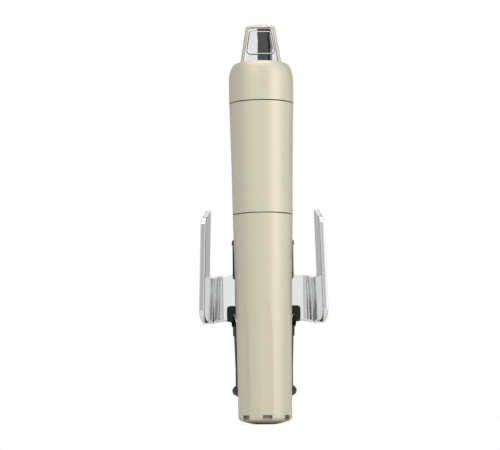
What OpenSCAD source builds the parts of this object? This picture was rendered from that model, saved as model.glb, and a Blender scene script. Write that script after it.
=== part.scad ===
// Hand-held dispenser that draws wine through the cork with a needle and replaces it with
// argon. A slim handle holds the gas capsule, its regulator and the valve. In front of it a
// spring clamp, which grips the neck of the bottle, slides up and down a rail, and the
// needle passes down the middle of the clamp.
// Millimetres. +Z is up, the origin is the middle of the foot, on the axis of the handle.
// The back of the handle faces -Y; the needle, the clamp and the spout are on the +Y side.

/* [Capsule cup] */
// Height of the cup's mouth above the mouth of the capsule
mouth_rise = 29.8; // [28:0.2:33]
// Outer radius of the mouth, shared with the lower end of the sleeve
mouth_r = 17.75; // [17.5:0.05:18.5]
// Outer radius just above the rounded foot
cup_foot_r = 15.8; // [15.4:0.05:16.4]
// Radius of the flat patch that the dispenser stands on
foot_flat_r = 9; // [6:0.5:11]
// Rise of the domed end from the flat patch to the rounded edge
dome_rise = 2.2; // [1.5:0.1:2.6]
// Radius of the rounded edge round the foot
foot_edge_r = 2.6; // [1.5:0.1:3]
// Wall of the cup
cup_wall = 1.6; // [1.2:0.1:2]
// Thickness of the cup's end
cup_floor = 3.8; // [3.2:0.1:5]
// Number of grip flutes, each with a vent slot at its foot
flutes = 7; // [5:1:9]
// Depth of a flute
flute_depth = 0.38; // [0.2:0.02:0.6]
// Height at which the flutes start to fade out
flute_h = 46; // [30:1:60]
// Length over which the flutes fade out
flute_fade = 30; // [15:1:35]
// Turn of the first flute from the back of the handle
flute_turn = 5; // [0:1:25]
// Width of a vent slot
slot_w = 5.3; // [3:0.1:6.5]
// Height of a vent slot
slot_h = 2.8; // [1.5:0.1:3.5]
// Height of the slots' lower edge above the foot
slot_z = 2.5; // [2:0.1:3]
// Wall of the liner that centres the capsule
liner_wall = 2.6; // [1.5:0.1:2.8]
// Thickness of the rubber pad under the capsule
capsule_pad_t = 1.4; // [1:0.1:2.5]

/* [Gas capsule] */
// Radius of the capsule
capsule_r = 11; // [10.5:0.1:11.2]
// Length of the capsule
capsule_l = 88; // [84:0.5:90]
// Radius of its neck
capsule_neck_r = 4.5; // [4:0.1:5]
// Length of its neck
capsule_neck_l = 10; // [8:0.5:12]
// Length of its sloping shoulder
capsule_shoulder_l = 12; // [10:0.5:14]
// Wall of the capsule
capsule_wall = 1.8; // [1.5:0.1:2.5]

/* [Screw joint of the cup] */
// Pitch of the thread
pitch = 3; // [2.4:0.1:4]
// Turns of the thread
thread_turns = 4.5; // [3:0.5:5]
// Radius of the spigot that carries the thread
spigot_r = 13.4; // [13:0.05:13.8]
// Height of a thread ridge across the wall
thread_depth = 1.15; // [0.8:0.05:1.2]
// Gap between the end of the spigot and the capsule's shoulder
spigot_clear = 1.8; // [1:0.1:4]

/* [Handle] */
// Wall of the sleeve
sleeve_wall = 1.6; // [1.2:0.1:2]
// Width of the seams where the covers meet
seam = 0.5; // [0.3:0.05:0.8]

/* [Head] */
// Radius of the head at the back
head_r = 19.1; // [18.8:0.05:19.6]
// Height of the head from its seam to its deck
head_h = 24; // [22:0.5:26]
// Width of the rounded shoulder round the deck
shoulder_w = 4.6; // [4:0.1:6.5]
// Height over which the shoulder rounds off
shoulder_h = 10.5; // [8:0.5:12]
// Radius of the nose above the needle
nose_r = 11.5; // [11:0.1:13]
// Height of the nose from the seam to its top
nose_h = 18.5; // [17:0.5:20]
// Wall of the head cover
head_wall = 1.7; // [1.3:0.1:2]
// Thickness of the plate that closes the head underneath
underplate_t = 2.5; // [2:0.1:3.5]

/* [Hood and trigger] */
// Height of the hood above the deck
hood_h = 23.5; // [21:0.5:26]
// Width of the hood where it leaves the deck
hood_w = 24.2; // [22:0.1:26]
// Width of the hood at its top
hood_top_w = 18; // [16:0.1:20]
// Forward lean of the hood's back, in degrees
lean = 11.5; // [8:0.5:14]
// Distance of the hood's back behind the axis of the handle, at the deck
hood_back = 9.5; // [8.5:0.1:10.5]
// Reach of the hood in front of the axis, at the deck
hood_front = 21.5; // [20:0.5:23]
// Reach of the hood in front of the axis, at its top
hood_top_front = 5; // [4.5:0.25:7]
// Width of the rim round the trigger
rim_w = 1.7; // [1.3:0.1:2.2]
// Depth of the trigger below the rim
trigger_recess = 0.5; // [0.2:0.1:1]
// Thickness of the trigger's blade
trigger_t = 3; // [2.4:0.1:3.4]
// Gap round the trigger
trigger_gap = 0.35; // [0.25:0.05:0.6]
// Height of the trigger's pin below the deck
trigger_drop = 11.5; // [10:0.5:13]
// Radius of the trigger's pin
trigger_pin_r = 1.25; // [1:0.05:1.5]
// Width of the raised pad at its lower end
pad_w = 16; // [13:0.1:16.6]
// Width of the raised pad at its upper end
pad_top_w = 13; // [10:0.1:13.4]
// Height of the raised pad
pad_h = 14.5; // [11:0.5:15]
// Height of the raised pad above the deck
pad_z = 4.9; // [4:0.1:6]

/* [Spout] */
// Outer radius of the spout
spout_r = 4.3; // [4:0.05:4.6]
// Wall of the spout
spout_wall = 1; // [0.7:0.05:1.4]
// Angle of the spout above the horizontal
spout_angle = 38; // [34:1:40]
// Length of the spout in front of the hood
spout_l = 15.5; // [13:0.5:16]

/* [Needle] */
// Outer radius of the needle
needle_r = 0.75; // [0.6:0.05:0.9]
// Radius of the needle's knurled hub
hub_r = 5.8; // [5:0.1:6.2]
// Height of the hub below the head
hub_h = 14; // [12:0.5:16]
// Height of the cone under the hub
hub_nose_h = 4; // [3:0.5:5]
// Radius of the hub's threaded shank
shank_r = 3.9; // [3.5:0.1:4.2]
// Depth at which the resting needle's tip sits above the mouth of the bottle
tip_cover = 4; // [3.5:0.5:8]

/* [Rail] */
// Half width of the rail's flange
flange_half_w = 9; // [8:0.5:9.5]
// Thickness of the flange
flange_t = 2.8; // [2.4:0.1:3.2]
// Half width of the web behind the flange
web_half_w = 5; // [4.5:0.25:5.5]
// Thickness of the web
web_t = 1.6; // [1.4:0.1:2]
// Gap between the head's back radius and the rail
rail_gap = 0.4; // [0.3:0.05:0.8]
// Thread radius of the rail's screws
rail_screw_r = 1.5; // [1.2:0.05:1.6]

/* [Clamp carriage] */
// Travel of the carriage
stroke = 70; // [66:1:72]
// Gap between the raised carriage and the head
head_clear = 5.5; // [5:0.5:8]
// Height of the bottle's mouth above the foot with the carriage down
mouth_z = 62; // [60:0.5:66]
// Height of the carriage from the bottle's mouth to the top of its cap
carriage_h = 49; // [46:0.5:54]
// Half width of the carriage
carriage_half_w = 18.3; // [17.8:0.1:18.8]
// Depth of the carriage behind the levers
carriage_d = 11.6; // [11:0.1:12]
// Radius of the column that guides the needle
column_r = 8.5; // [7.5:0.1:9]
// Radius of the rubber foot that meets the bottle's mouth
foot_pad_r = 13; // [11:0.5:14]
// Thickness of that foot
foot_pad_t = 3; // [2:0.25:3.5]
// Height of the carriage's cap
cap_h = 5.2; // [4:0.2:6]

/* [Clamp arms] */
// Radius of the lip of a bottle that the clamp takes
lip_r = 15; // [14.5:0.1:15.2]
// Radius of the bottle's neck that the pads hold
neck_r = 14; // [13.5:0.1:14.2]
// Distance of an arm's hinge pin from the middle
pin_x = 19.4; // [19:0.1:19.8]
// Height of the hinge pins above the bottle's mouth
pin_rise = 5; // [4.5:0.1:5.5]
// Radius of a hinge pin
pin_r = 1.3; // [1.1:0.05:1.4]
// Thickness of a lever's bar
bar_t = 4; // [3.5:0.1:4.2]
// Height of the bar beside the paddle
bar_h = 28; // [26:0.5:29]
// Distance of the crease between bar and paddle from the middle
crease_x = 30.4; // [29:0.1:32]
// Depth of a paddle, front to back
paddle_d = 20.6; // [18:0.2:22]
// Depth of a paddle above the bar, front to back
upper_d = 11.6; // [10:0.2:14]
// Height of a paddle at its front edge
paddle_h = 67.4; // [62:0.2:70]
// Drop of the paddle's top from its front edge to its back edge
paddle_slope = 4.4; // [3:0.1:6]
// Thickness of a paddle
paddle_t = 3.4; // [2.8:0.1:3.8]
// Outward splay of a paddle towards the back, in degrees
toe = 14.5; // [11:0.5:17]
// Inward lean of a paddle towards its top, in degrees
paddle_lean = 1.6; // [0:0.1:3]
// Length of a jaw's leg below the bottle's mouth
leg_l = 45.5; // [42:0.5:47]
// Length of the coiled spring on a hinge pin
arm_spring_l = 5.6; // [5:0.2:6]
// Turns of that spring
arm_spring_turns = 3.5; // [3:0.5:4]
// Height of a rubber grip pad
grip_h = 17; // [14:0.5:18]
// Thickness of a grip pad
grip_t = 1.3; // [1:0.05:1.5]
// Half of the angle that a jaw reaches round the neck
jaw_half_angle = 38; // [34:1:40]

/* [Clearances] */
// Gap round a part that slides or turns
run_gap = 0.3; // [0.25:0.05:0.4]
// Radial gap of a pin or stem in its bore
pin_gap = 0.06; // [0.04:0.01:0.1]
// Gap between the rail and the bottle's lip
lip_gap = 0.8; // [0.6:0.1:1.2]

/* [Hidden] */
$fn = 64;
eps = 0.01;
through = 60;

// Overlap of shapes that are joined or cut
lap = 1;

// Heights of the stack, from the foot up: the cup is as long as its capsule asks, and the
// head is as high as the carriage needs to clear the needle's tip
capsule_z = cup_floor + capsule_pad_t;
capsule_top = capsule_z + capsule_l;
cup_h = capsule_top + mouth_rise;
cap_top = mouth_z + carriage_h;
underplate_z = cap_top + stroke + head_clear;
head_z = underplate_z + underplate_t;
deck_z = head_z + head_h;
top_z = deck_z + hood_h;

// Regulator and bonnet inside the sleeve: the spring holds the hollow piston off its seat,
// and the gas that has passed through the piston pushes it back down
sleeve_bore = mouth_r - sleeve_wall;
flange_fit = 0.05;
reg_flange_h = 6;
reg_r = 13;
reg_z0 = capsule_top - capsule_neck_l + spigot_clear;
reg_z1 = head_z - 11;
bonnet_z1 = head_z + 1.5;
chamber_r = 10.5;
chamber_web = 0.5;
chamber_z = cup_h + 8;
piston_h = 7;
piston_lift = 1.2;
piston_stem_r = 3;
piston_bore_r = 1.2;
bonnet_spigot = 5;
piston_z1 = reg_z1 - bonnet_spigot - 0.3;
spring_z1 = piston_z1 - piston_h;
seat_t = 1.5;
outlet_r = 1.5;
plenum_r = 4;
bonnet_flange_h = 4;
coil_r = 6.8;
coil_wire_r = 1;
coil_turns = 6.5;

// Ring seals and their grooves, in two sizes
ring_wire_r = 0.6;
groove_d = 1.3;
groove_w = 1.8;
small_wire_r = 0.38;
small_groove_d = 0.8;
small_groove_w = 1.2;
outlet_ring_r = plenum_r + 1.7;
bonnet_groove_z = reg_z1 - 3.4;
piston_groove_z = spring_z1 + 2.6;
stem_groove_z = chamber_z - 6;

// Capsule and the pieces that seal and pierce it
neck_pocket_gap = 3;
seal_seat_gap = 0.5;
gas_port_r = 0.8;
seal_t = 2.4;
lance_r = 1.2;
lance_bite = 4;
lance_flange_r = 4.05;
lance_flange_t = 2.4;
lance_bore_r = 0.5;
filter_t = 2;
filter_z = capsule_top + seal_t + lance_flange_t;
seat_z = filter_z + filter_t + 3;

// Rail, needle and bottle axis
rail_y = head_r + rail_gap;
rail_front = rail_y + web_t + flange_t;
needle_y = rail_front + lip_gap + lip_r;
rail_top = head_z - 3;
rail_bottom = mouth_z - 6;
boss_half_w = web_half_w;
boss_z = cup_h + 8;
screw_gap = 0.1;
rail_screw_low = boss_z + 6;
rail_screw_high = rail_top - 14;
rail_screw_zs = [rail_screw_low, (rail_screw_low + rail_screw_high) / 2, rail_screw_high];
rail_screw_head_h = 1.6;
screw_sink = 1.9;
screw_hole_end = chamber_r + chamber_web;
end_stop_r = 2.4;
end_stop_head_h = 1.1;
end_stop_z = mouth_z + foot_pad_t - 0.4 - end_stop_r;
end_stop_screw_r = 1.15;

// Needle
hub_z = underplate_z - hub_h;
tip_z = mouth_z + tip_cover;
shank_l = 10;
hub_chamfer = 0.8;
hub_nose_r = 1.6;
hub_nose_root_r = 3;
needle_tip_l = 3;

// Trigger, valve and spout
pin_y = -7.4;
trigger_pin_z = deck_z - trigger_drop;
spool_z = deck_z;
spool_r = 2.45;
spool_stem_r = 1.2;
spool_l = 9;
spool_y0 = 0.6;
spool_y1 = spool_y0 + spool_l;
spool_tip_y = -4;
spool_bore_end = 14.8;
tower_y0 = -0.8;
tower_y1 = spool_bore_end + 1.2;
tower_half_w = 5.5;
tower_top_z = spool_z + 3.6;
gland_t = 1;
gland_r = 3.2;
spool_coil_r = 1.7;
spool_wire_r = 0.28;
spool_turns = 4;
knuckle_r = 3;
stem_t = 4.8;
stem_h = 9.8;
nose_cylinder_r = 2.5;
nose_cylinder_w = 5;
blade_drop = 3.6;
blade_slot = 5;
pad_proud = 0.5;
spout_y = 5;
spout_z = deck_z + 3;
spout_root = 5.6;
spout_land = 1.6;
spout_step = 0.25;
hood_edge_r = 2.2;
hood_root = 6;
hood_taper = 1;
rim_top_extra = 0.4;
blade_corner_r = 1.6;
front_slope = (hood_front - hood_top_front) / hood_h;
spout_exit = (hood_front - spout_y - (spout_z - deck_z) * front_slope)
           / (cos(spout_angle) + sin(spout_angle) * front_slope);

// Carriage, upper wide block above the bars and narrow spine behind them
pin_z = mouth_z + pin_rise;
bar_front = needle_y - 2.5;
bar_back = bar_front - bar_t;
bar_z0 = mouth_z - 1;
bar_z1 = bar_z0 + bar_h;
bar_rise = 1.7;
block_z = bar_z1 + bar_rise + 0.9;
cap_z = cap_top - cap_h;
column_top = hub_z - hub_nose_h - stroke - 1.5;
column_web_half_w = 5;
carriage_corner_r = 4;
carriage_y0 = rail_y + 0.2;
carriage_y1 = carriage_y0 + carriage_d;
spine_half_w = 12.5;
lug_t = 3;
lug_half_w = 2.6;
lug_top = 3.6;
lug_out_d = 2.4;
front_lug_y = needle_y + lug_out_d;
spring_y = carriage_y0 + lug_t + run_gap;
knuckle_y = spring_y + arm_spring_l + run_gap;
bush_r = 3;
brake_r = 2.9;
brake_t = 4.9;
brake_z = (block_z + cap_z) / 2 - 1;
cap_screw_r = 1.1;
cap_screw_head_r = 2.1;
cap_screw_sink = 1.6;
cap_screw_l = 10;

// Jaws
relief_r = lip_r + 1.4;
grip_seat_r = neck_r + grip_t;
grip_fit = 0.02;
leg_z = mouth_z - leg_l;
grip_z = leg_z + 2.5;
plate_t = 2.6;
jaw_screw_spots = [[pin_x + 1.4, pin_z + 9.6], [pin_x + 6.6, pin_z - 1]];
jaw_screw_r = 1.1;
jaw_screw_bite = 2.6;
small_head_r = 2;
small_head_h = 1.2;
head_step = 0.1;

// ---------- shared shapes ----------

function arc(cx, cy, r, a0, a1, n) =
    [for (i = [0:n]) let (a = a0 + (a1 - a0) * i / n) [cx + r * cos(a), cy + r * sin(a)]];

module at_needle(z = 0) {
    translate([0, needle_y, z]) children();
}

module ring(r_out, r_in, h) {
    difference() {
        cylinder(r = r_out, h = h);
        translate([0, 0, -eps]) cylinder(r = r_in, h = h + 2 * eps);
    }
}

module o_ring(r, wire_r) {
    rotate_extrude() translate([r, 0]) circle(r = wire_r, $fn = 24);
}

// Stands an outline drawn in X and Z upright, from y0 to y1
module upright(y0, y1) {
    translate([0, y1, 0]) rotate([90, 0, 0]) linear_extrude(y1 - y0) children();
}

// Rounded rectangle made only of straight sides and true arcs
module soft_rect(w, h, r) {
    translate([-w / 2 + r, -h / 2]) square([w - 2 * r, h]);
    translate([-w / 2, -h / 2 + r]) square([w, h - 2 * r]);
    for (x = [-1, 1], y = [-1, 1])
        translate([x * (w / 2 - r), y * (h / 2 - r)]) circle(r = r);
}

// Pan-head screw along +Z with a hexagon socket, its head's underside at the origin
module screw(r, l, head_r, head_h) {
    socket_d = head_h * 0.55;
    translate([0, 0, -l]) cylinder(r = r, h = l + eps);
    difference() {
        cylinder(r = head_r, h = head_h);
        translate([0, 0, head_h - socket_d]) cylinder(r = head_r * 0.5, h = head_h, $fn = 6);
    }
}

// Open coil of round wire along +Z, as one unbroken tube with flat ends
coil_rings = 8;
coil_sides = 6;

function coil_middle(r, wire_r, l, turns, i) =
    let (n = ceil(turns * coil_rings), a = 360 * turns * i / n)
    [r * cos(a), r * sin(a), wire_r + (l - 2 * wire_r) * i / n];

// Least clear gap between one curl and the next
function coil_gap(r, wire_r, l, turns) =
    let (n = ceil(turns * coil_rings))
    min([for (i = [0:n - coil_rings], j = [i + coil_rings - 1:min(n, i + coil_rings + 1)])
        norm(coil_middle(r, wire_r, l, turns, i) - coil_middle(r, wire_r, l, turns, j))])
    - 2 * wire_r;

module coil(r, wire_r, l, turns) {
    n = ceil(turns * coil_rings);
    pts = [for (i = [0:n], s = [0:coil_sides - 1])
        let (a = 360 * turns * i / n, b = 360 * s / coil_sides, rr = r + wire_r * cos(b))
        [rr * cos(a), rr * sin(a), wire_r + (l - 2 * wire_r) * i / n + wire_r * sin(b)]];
    faces = concat(
        [for (i = [0:n - 1], s = [0:coil_sides - 1]) let (t = (s + 1) % coil_sides)
            [(i + 1) * coil_sides + t, i * coil_sides + t, i * coil_sides + s]],
        [for (i = [0:n - 1], s = [0:coil_sides - 1]) let (t = (s + 1) % coil_sides)
            [(i + 1) * coil_sides + s, (i + 1) * coil_sides + t, i * coil_sides + s]],
        [[for (s = [0:coil_sides - 1]) s]],
        [[for (s = [coil_sides - 1:-1:0]) n * coil_sides + s]]);
    polyhedron(points = pts, faces = faces);
}

// One start of a thread: a ridge of trapezium section between two radii
module thread_ridge(r_root, r_crest, turns) {
    rings = 24;
    n = ceil(turns * rings);
    root = pitch * 0.2;
    crest = pitch * 0.11;
    section = r_crest > r_root
        ? [[r_root, -root], [r_crest, -crest], [r_crest, crest], [r_root, root]]
        : [[r_root, root], [r_crest, crest], [r_crest, -crest], [r_root, -root]];
    pts = [for (i = [0:n], s = [0:3])
        let (a = 360 * turns * i / n)
        [section[s][0] * cos(a), section[s][0] * sin(a), section[s][1] + pitch * turns * i / n]];
    faces = concat(
        [for (i = [0:n - 1], s = [0:3]) let (t = (s + 1) % 4) [i * 4 + t, (i + 1) * 4 + t, i * 4 + s]],
        [for (i = [0:n - 1], s = [0:3]) let (t = (s + 1) % 4)
            [(i + 1) * 4 + t, (i + 1) * 4 + s, i * 4 + s]],
        [[3, 2, 1, 0]],
        [[n * 4, n * 4 + 1, n * 4 + 2, n * 4 + 3]]);
    polyhedron(points = pts, faces = faces);
}

// ---------- capsule cup ----------

edge_z = dome_rise + foot_edge_r * sin(60);
edge_start_r = cup_foot_r - foot_edge_r * (1 - cos(60));

// Outer radius of the cup, which widens faster towards its mouth
function cup_r(z) =
    cup_foot_r + (mouth_r - cup_foot_r) * pow(max(0, z - edge_z) / (cup_h - edge_z), 1.6);

function dome_z(r) = dome_rise * (r * r - foot_flat_r * foot_flat_r)
                   / (edge_start_r * edge_start_r - foot_flat_r * foot_flat_r);

cup_steps = [0.12, 0.25, 0.38, 0.5, 0.62, 0.73, 0.83, 0.92, 1];
cup_lip_z = cup_h - seam / 2;
cup_side = [for (t = cup_steps) let (z = edge_z + t * (cup_lip_z - edge_z)) [cup_r(z), z]];
cup_outline = concat(
    [[0, 0], [foot_flat_r, 0]],
    [for (i = [1:4]) let (r = foot_flat_r + (edge_start_r - foot_flat_r) * i / 4) [r, dome_z(r)]],
    arc(cup_foot_r - foot_edge_r, edge_z, foot_edge_r, -48, 0, 5),
    cup_side);

thread_gap = 0.55;
thread_root = 0.1;
thread_relief = 3;
thread_bore = spigot_r + thread_depth + thread_gap;
thread_z0 = cup_h - 4 - pitch * thread_turns;
seal_groove_z = cup_h - 2.6;
seal_groove_h = 1.9;
seal_wire_r = 0.85;
seal_ring_r = thread_bore - run_gap - seal_wire_r;
cup_bore = cup_foot_r - cup_wall;
cup_hollow = concat(
    [[0, cup_floor], [cup_bore, cup_floor], [cup_bore, edge_z]],
    [for (p = cup_side) if (p[1] < thread_z0 - 2 * thread_relief)
        [min(p[0] - cup_wall, thread_bore), p[1]]],
    [[thread_bore, thread_z0 - thread_relief], [thread_bore, cup_h + lap], [0, cup_h + lap]]);

flute_steps = [0, 0.25, 0.5, 0.75, 1];
flute_outline = concat(
    [[cup_foot_r - flute_depth, -lap], [cup_foot_r - flute_depth, edge_z],
     [cup_r(flute_h * 0.6) - flute_depth, flute_h * 0.6]],
    [for (t = flute_steps) let (z = flute_h + t * flute_fade)
        [cup_r(z) - flute_depth * (1 - 1.15 * t * t), z]],
    [[mouth_r + lap, flute_h + flute_fade], [mouth_r + lap, -lap]]);

module round_flutes() {
    for (i = [0:flutes - 1]) rotate([0, 0, -90 + flute_turn + i * 360 / flutes]) children();
}

module capsule_cup() {
    color([0.80, 0.77, 0.67])
    union() {
        difference() {
            rotate_extrude() polygon(cup_outline);
            rotate_extrude() polygon(cup_hollow);
            round_flutes() upright(-slot_w * 1.4, slot_w * 1.4) polygon(flute_outline);
            round_flutes() translate([cup_bore - cup_wall, -slot_w / 2, slot_z])
                cube([through, slot_w, slot_h]);
        }
        translate([0, 0, thread_z0]) rotate([0, 0, 180])
            thread_ridge(thread_bore + thread_root, thread_bore - thread_depth, thread_turns);
    }
}

liner_r = cup_bore - 0.15;
liner_rise = 4;
liner_top = capsule_top - capsule_neck_l - capsule_shoulder_l + liner_rise;
capsule_gap = 0.2;

module cup_liner() {
    color([0.23, 0.24, 0.25])
    translate([0, 0, cup_floor])
        ring(liner_r, max(liner_r - liner_wall, capsule_r + capsule_gap), liner_top - cup_floor);
}

module capsule_pad() {
    inset = 1.5;
    color([0.12, 0.12, 0.12])
    translate([0, 0, cup_floor]) cylinder(r = capsule_r - inset, h = capsule_pad_t);
}

module gas_capsule() {
    body_l = capsule_l - capsule_neck_l - capsule_shoulder_l;
    shoulder_top = body_l + capsule_shoulder_l;
    hole_r = lance_r + 0.3;
    inside_r = capsule_r - capsule_wall;
    dish = 0.8;
    corner = 3;
    color([0.75, 0.76, 0.78])
    translate([0, 0, capsule_z]) rotate_extrude() polygon(concat(
        [[0, dish], [corner + 1, dish], [2 * corner, 0]],
        arc(capsule_r - corner, corner, corner, -90, 0, 4),
        [[capsule_r, body_l], [capsule_r - dish, body_l + corner],
         [capsule_neck_r + dish, shoulder_top - dish], [capsule_neck_r, shoulder_top],
         [capsule_neck_r, capsule_l], [hole_r, capsule_l],
         [hole_r, shoulder_top - dish], [inside_r, body_l + dish],
         [inside_r, corner + dish], [inside_r - capsule_wall, capsule_wall + dish],
         [0, capsule_wall + dish]]));
}

// ---------- regulator and handle ----------

module regulator_body() {
    color([0.72, 0.73, 0.75])
    union() {
        difference() {
            union() {
                translate([0, 0, reg_z0]) cylinder(r = spigot_r, h = cup_h - reg_z0 + lap);
                translate([0, 0, cup_h + seam / 2])
                    cylinder(r = sleeve_bore - flange_fit, h = reg_flange_h);
                translate([0, 0, cup_h]) cylinder(r = reg_r, h = reg_z1 - cup_h);
            }
            translate([0, 0, reg_z0 - lap])
                cylinder(r = capsule_neck_r + neck_pocket_gap, h = capsule_top - reg_z0 + lap);
            translate([0, 0, capsule_top - eps])
                cylinder(r = capsule_neck_r + seal_seat_gap, h = seal_t + eps);
            translate([0, 0, capsule_top + seal_t - eps])
                cylinder(r = lance_flange_r + pin_gap, h = lance_flange_t + filter_t + eps);
            translate([0, 0, filter_z]) cylinder(r = gas_port_r, h = seat_z - filter_z + lap);
            translate([0, 0, seat_z]) cylinder(r = piston_stem_r + pin_gap, h = chamber_z - seat_z + lap);
            translate([0, 0, chamber_z]) cylinder(r = chamber_r, h = reg_z1 - chamber_z + lap);
            for (z = rail_screw_zs) translate([0, screw_hole_end, z]) rotate([-90, 0, 0])
                cylinder(r = rail_screw_r + pin_gap, h = reg_r);
            translate([0, 0, seal_groove_z])
                ring(spigot_r + lap, seal_ring_r - seal_wire_r, seal_groove_h);
        }
        translate([0, 0, thread_z0])
            thread_ridge(spigot_r - thread_root, spigot_r + thread_depth, thread_turns);
    }
}

manifold_screw_x = 9.8;
manifold_screw_r = 1.25;
manifold_screw_l = 9;
manifold_screw_end = 1.5;

module bonnet() {
    color([0.72, 0.73, 0.75])
    difference() {
        union() {
            translate([0, 0, reg_z1 - bonnet_spigot])
                cylinder(r = chamber_r - pin_gap, h = bonnet_spigot + lap);
            translate([0, 0, reg_z1]) cylinder(r = reg_r, h = bonnet_z1 - reg_z1);
            translate([0, 0, head_z - bonnet_flange_h])
                cylinder(r = sleeve_bore - flange_fit, h = bonnet_flange_h - seam);
        }
        translate([0, 0, reg_z1 - bonnet_spigot - lap]) cylinder(r = outlet_r, h = through);
        translate([0, 0, bonnet_groove_z]) ring(chamber_r + lap, chamber_r - groove_d, groove_w);
        translate([0, 0, bonnet_z1 - groove_d])
            ring(outlet_ring_r + groove_w / 2, outlet_ring_r - groove_w / 2, groove_d + lap);
        for (x = [-1, 1]) translate([x * manifold_screw_x, 0, manifold_screw_z - manifold_screw_l
                                     - manifold_screw_end])
            cylinder(r = manifold_screw_r + pin_gap, h = manifold_screw_l);
    }
}

module bonnet_seal() {
    color([0.1, 0.1, 0.1])
    translate([0, 0, bonnet_groove_z + groove_w / 2])
        o_ring(chamber_r - pin_gap - ring_wire_r, ring_wire_r);
}

module outlet_seal() {
    color([0.1, 0.1, 0.1])
    translate([0, 0, bonnet_z1 - ring_wire_r - 2 * eps]) o_ring(outlet_ring_r, ring_wire_r);
}

module handle_sleeve() {
    z0 = cup_h + seam / 2;
    z1 = head_z - seam / 2;
    color([0.80, 0.77, 0.67])
    difference() {
        union() {
            rotate_extrude() polygon(concat(
                [[sleeve_bore, z0]],
                [for (i = [0:8]) let (t = i / 8)
                    [mouth_r + (head_r - head_step - mouth_r) * pow(t, 1.4), z0 + (z1 - z0) * t]],
                [[sleeve_bore, z1]]));
            translate([-boss_half_w, sleeve_bore, boss_z])
                cube([2 * boss_half_w, rail_y - sleeve_bore, rail_top - boss_z]);
        }
        translate([0, 0, z0 - lap]) cylinder(r = sleeve_bore, h = z1 - z0 + 2 * lap);
        for (z = rail_screw_zs) translate([0, screw_hole_end, z]) rotate([-90, 0, 0])
            cylinder(r = rail_screw_r + pin_gap, h = reg_r);
    }
}

module regulator_piston() {
    color([0.78, 0.65, 0.36])
    difference() {
        union() {
            translate([0, 0, spring_z1]) cylinder(r = chamber_r - pin_gap, h = piston_h);
            translate([0, 0, seat_z + seat_t + piston_lift])
                cylinder(r = piston_stem_r, h = spring_z1 - seat_z - seat_t - piston_lift + lap);
        }
        translate([0, 0, seat_z]) cylinder(r = piston_bore_r, h = piston_z1 - seat_z + lap);
        translate([0, 0, piston_groove_z]) ring(chamber_r + lap, chamber_r - groove_d, groove_w);
        translate([0, 0, stem_groove_z])
            ring(piston_stem_r + lap, piston_stem_r - small_groove_d, small_groove_w);
    }
}

module piston_seals() {
    color([0.1, 0.1, 0.1])
    union() {
        translate([0, 0, piston_groove_z + groove_w / 2])
            o_ring(chamber_r - pin_gap - ring_wire_r, ring_wire_r);
        translate([0, 0, stem_groove_z + small_groove_w / 2])
            o_ring(piston_stem_r - small_wire_r, small_wire_r);
    }
}

module piston_seat() {
    color([0.92, 0.90, 0.84])
    translate([0, 0, seat_z]) ring(piston_stem_r - flange_fit, gas_port_r, seat_t);
}

module regulator_spring() {
    color([0.7, 0.71, 0.73])
    translate([0, 0, chamber_z]) coil(coil_r, coil_wire_r, spring_z1 - chamber_z, coil_turns);
}

module capsule_seal() {
    color([0.15, 0.15, 0.15])
    translate([0, 0, capsule_top])
        ring(capsule_neck_r + seal_seat_gap - flange_fit, lance_r + flange_fit, seal_t);
}

module piercing_lance() {
    tip_h = 2;
    color([0.72, 0.73, 0.75])
    difference() {
        union() {
            translate([0, 0, capsule_top + seal_t]) cylinder(r = lance_flange_r, h = lance_flange_t);
            translate([0, 0, capsule_top - lance_bite + tip_h])
                cylinder(r = lance_r, h = lance_bite - tip_h + seal_t + lap);
            translate([0, 0, capsule_top - lance_bite])
                cylinder(r1 = lance_r / 4, r2 = lance_r, h = tip_h + eps);
        }
        translate([0, 0, capsule_top - lance_bite + tip_h / 2]) cylinder(r = lance_bore_r, h = through);
    }
}

module inlet_filter() {
    color([0.6, 0.5, 0.3])
    translate([0, 0, filter_z]) cylinder(r = lance_flange_r, h = filter_t);
}

module spigot_seal() {
    color([0.1, 0.1, 0.1])
    translate([0, 0, seal_groove_z + seal_groove_h / 2]) o_ring(seal_ring_r, seal_wire_r);
}

// ---------- head ----------

// Round body with a rounded shoulder
module shouldered(r, h, round_w, round_h) {
    rotate_extrude($fn = 72) polygon(concat(
        [[0, 0], [r, 0]],
        [for (i = [0:7]) let (a = 90 * i / 7)
            [r - round_w * (1 - cos(a)), h - round_h * (1 - sin(a))]],
        [[0, h]]));
}

module head_form(inset, z) {
    hull() {
        translate([0, 0, z]) shouldered(head_r - inset, deck_z - inset - z, shoulder_w, shoulder_h);
        at_needle(z)
            shouldered(nose_r - inset, head_z + nose_h - inset - z, shoulder_w * 0.8, shoulder_h * 0.7);
    }
}

// The same outline seen from above
module head_plan(inset) {
    hull() {
        circle(r = head_r - inset);
        at_needle_2d() circle(r = nose_r - inset);
    }
}

// Hood that leans forward over the valve, from below the deck to its rounded top
module hood_form(inset) {
    r = hood_edge_r;
    w0 = hood_w / 2 - inset - r;
    w1 = hood_top_w / 2 - inset - r;
    z0 = deck_z - hood_root;
    z1 = top_z - inset - r;
    back = -hood_back + inset + r;
    hull() {
        for (x = [-1, 1]) {
            translate([x * w0, back, z0]) cylinder(r = r, h = deck_z - z0, $fn = 32);
            translate([x * (w0 - hood_taper), hood_front - inset - r, z0])
                cylinder(r = r, h = deck_z - z0, $fn = 32);
            translate([x * w1, back + tan(lean) * (z1 - deck_z), z1]) sphere(r = r, $fn = 32);
            translate([x * w1, hood_top_front - inset - r, z1]) sphere(r = r, $fn = 32);
        }
    }
}

// Outline of the trigger's blade in the leaning plane, grown by a gap
function blade_half(z, gap) =
    (hood_w + (hood_top_w - hood_w) * z / hood_h) / 2 - rim_w - trigger_gap + gap;

blade_top = hood_h / cos(lean) - rim_w - trigger_gap - rim_top_extra;

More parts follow.
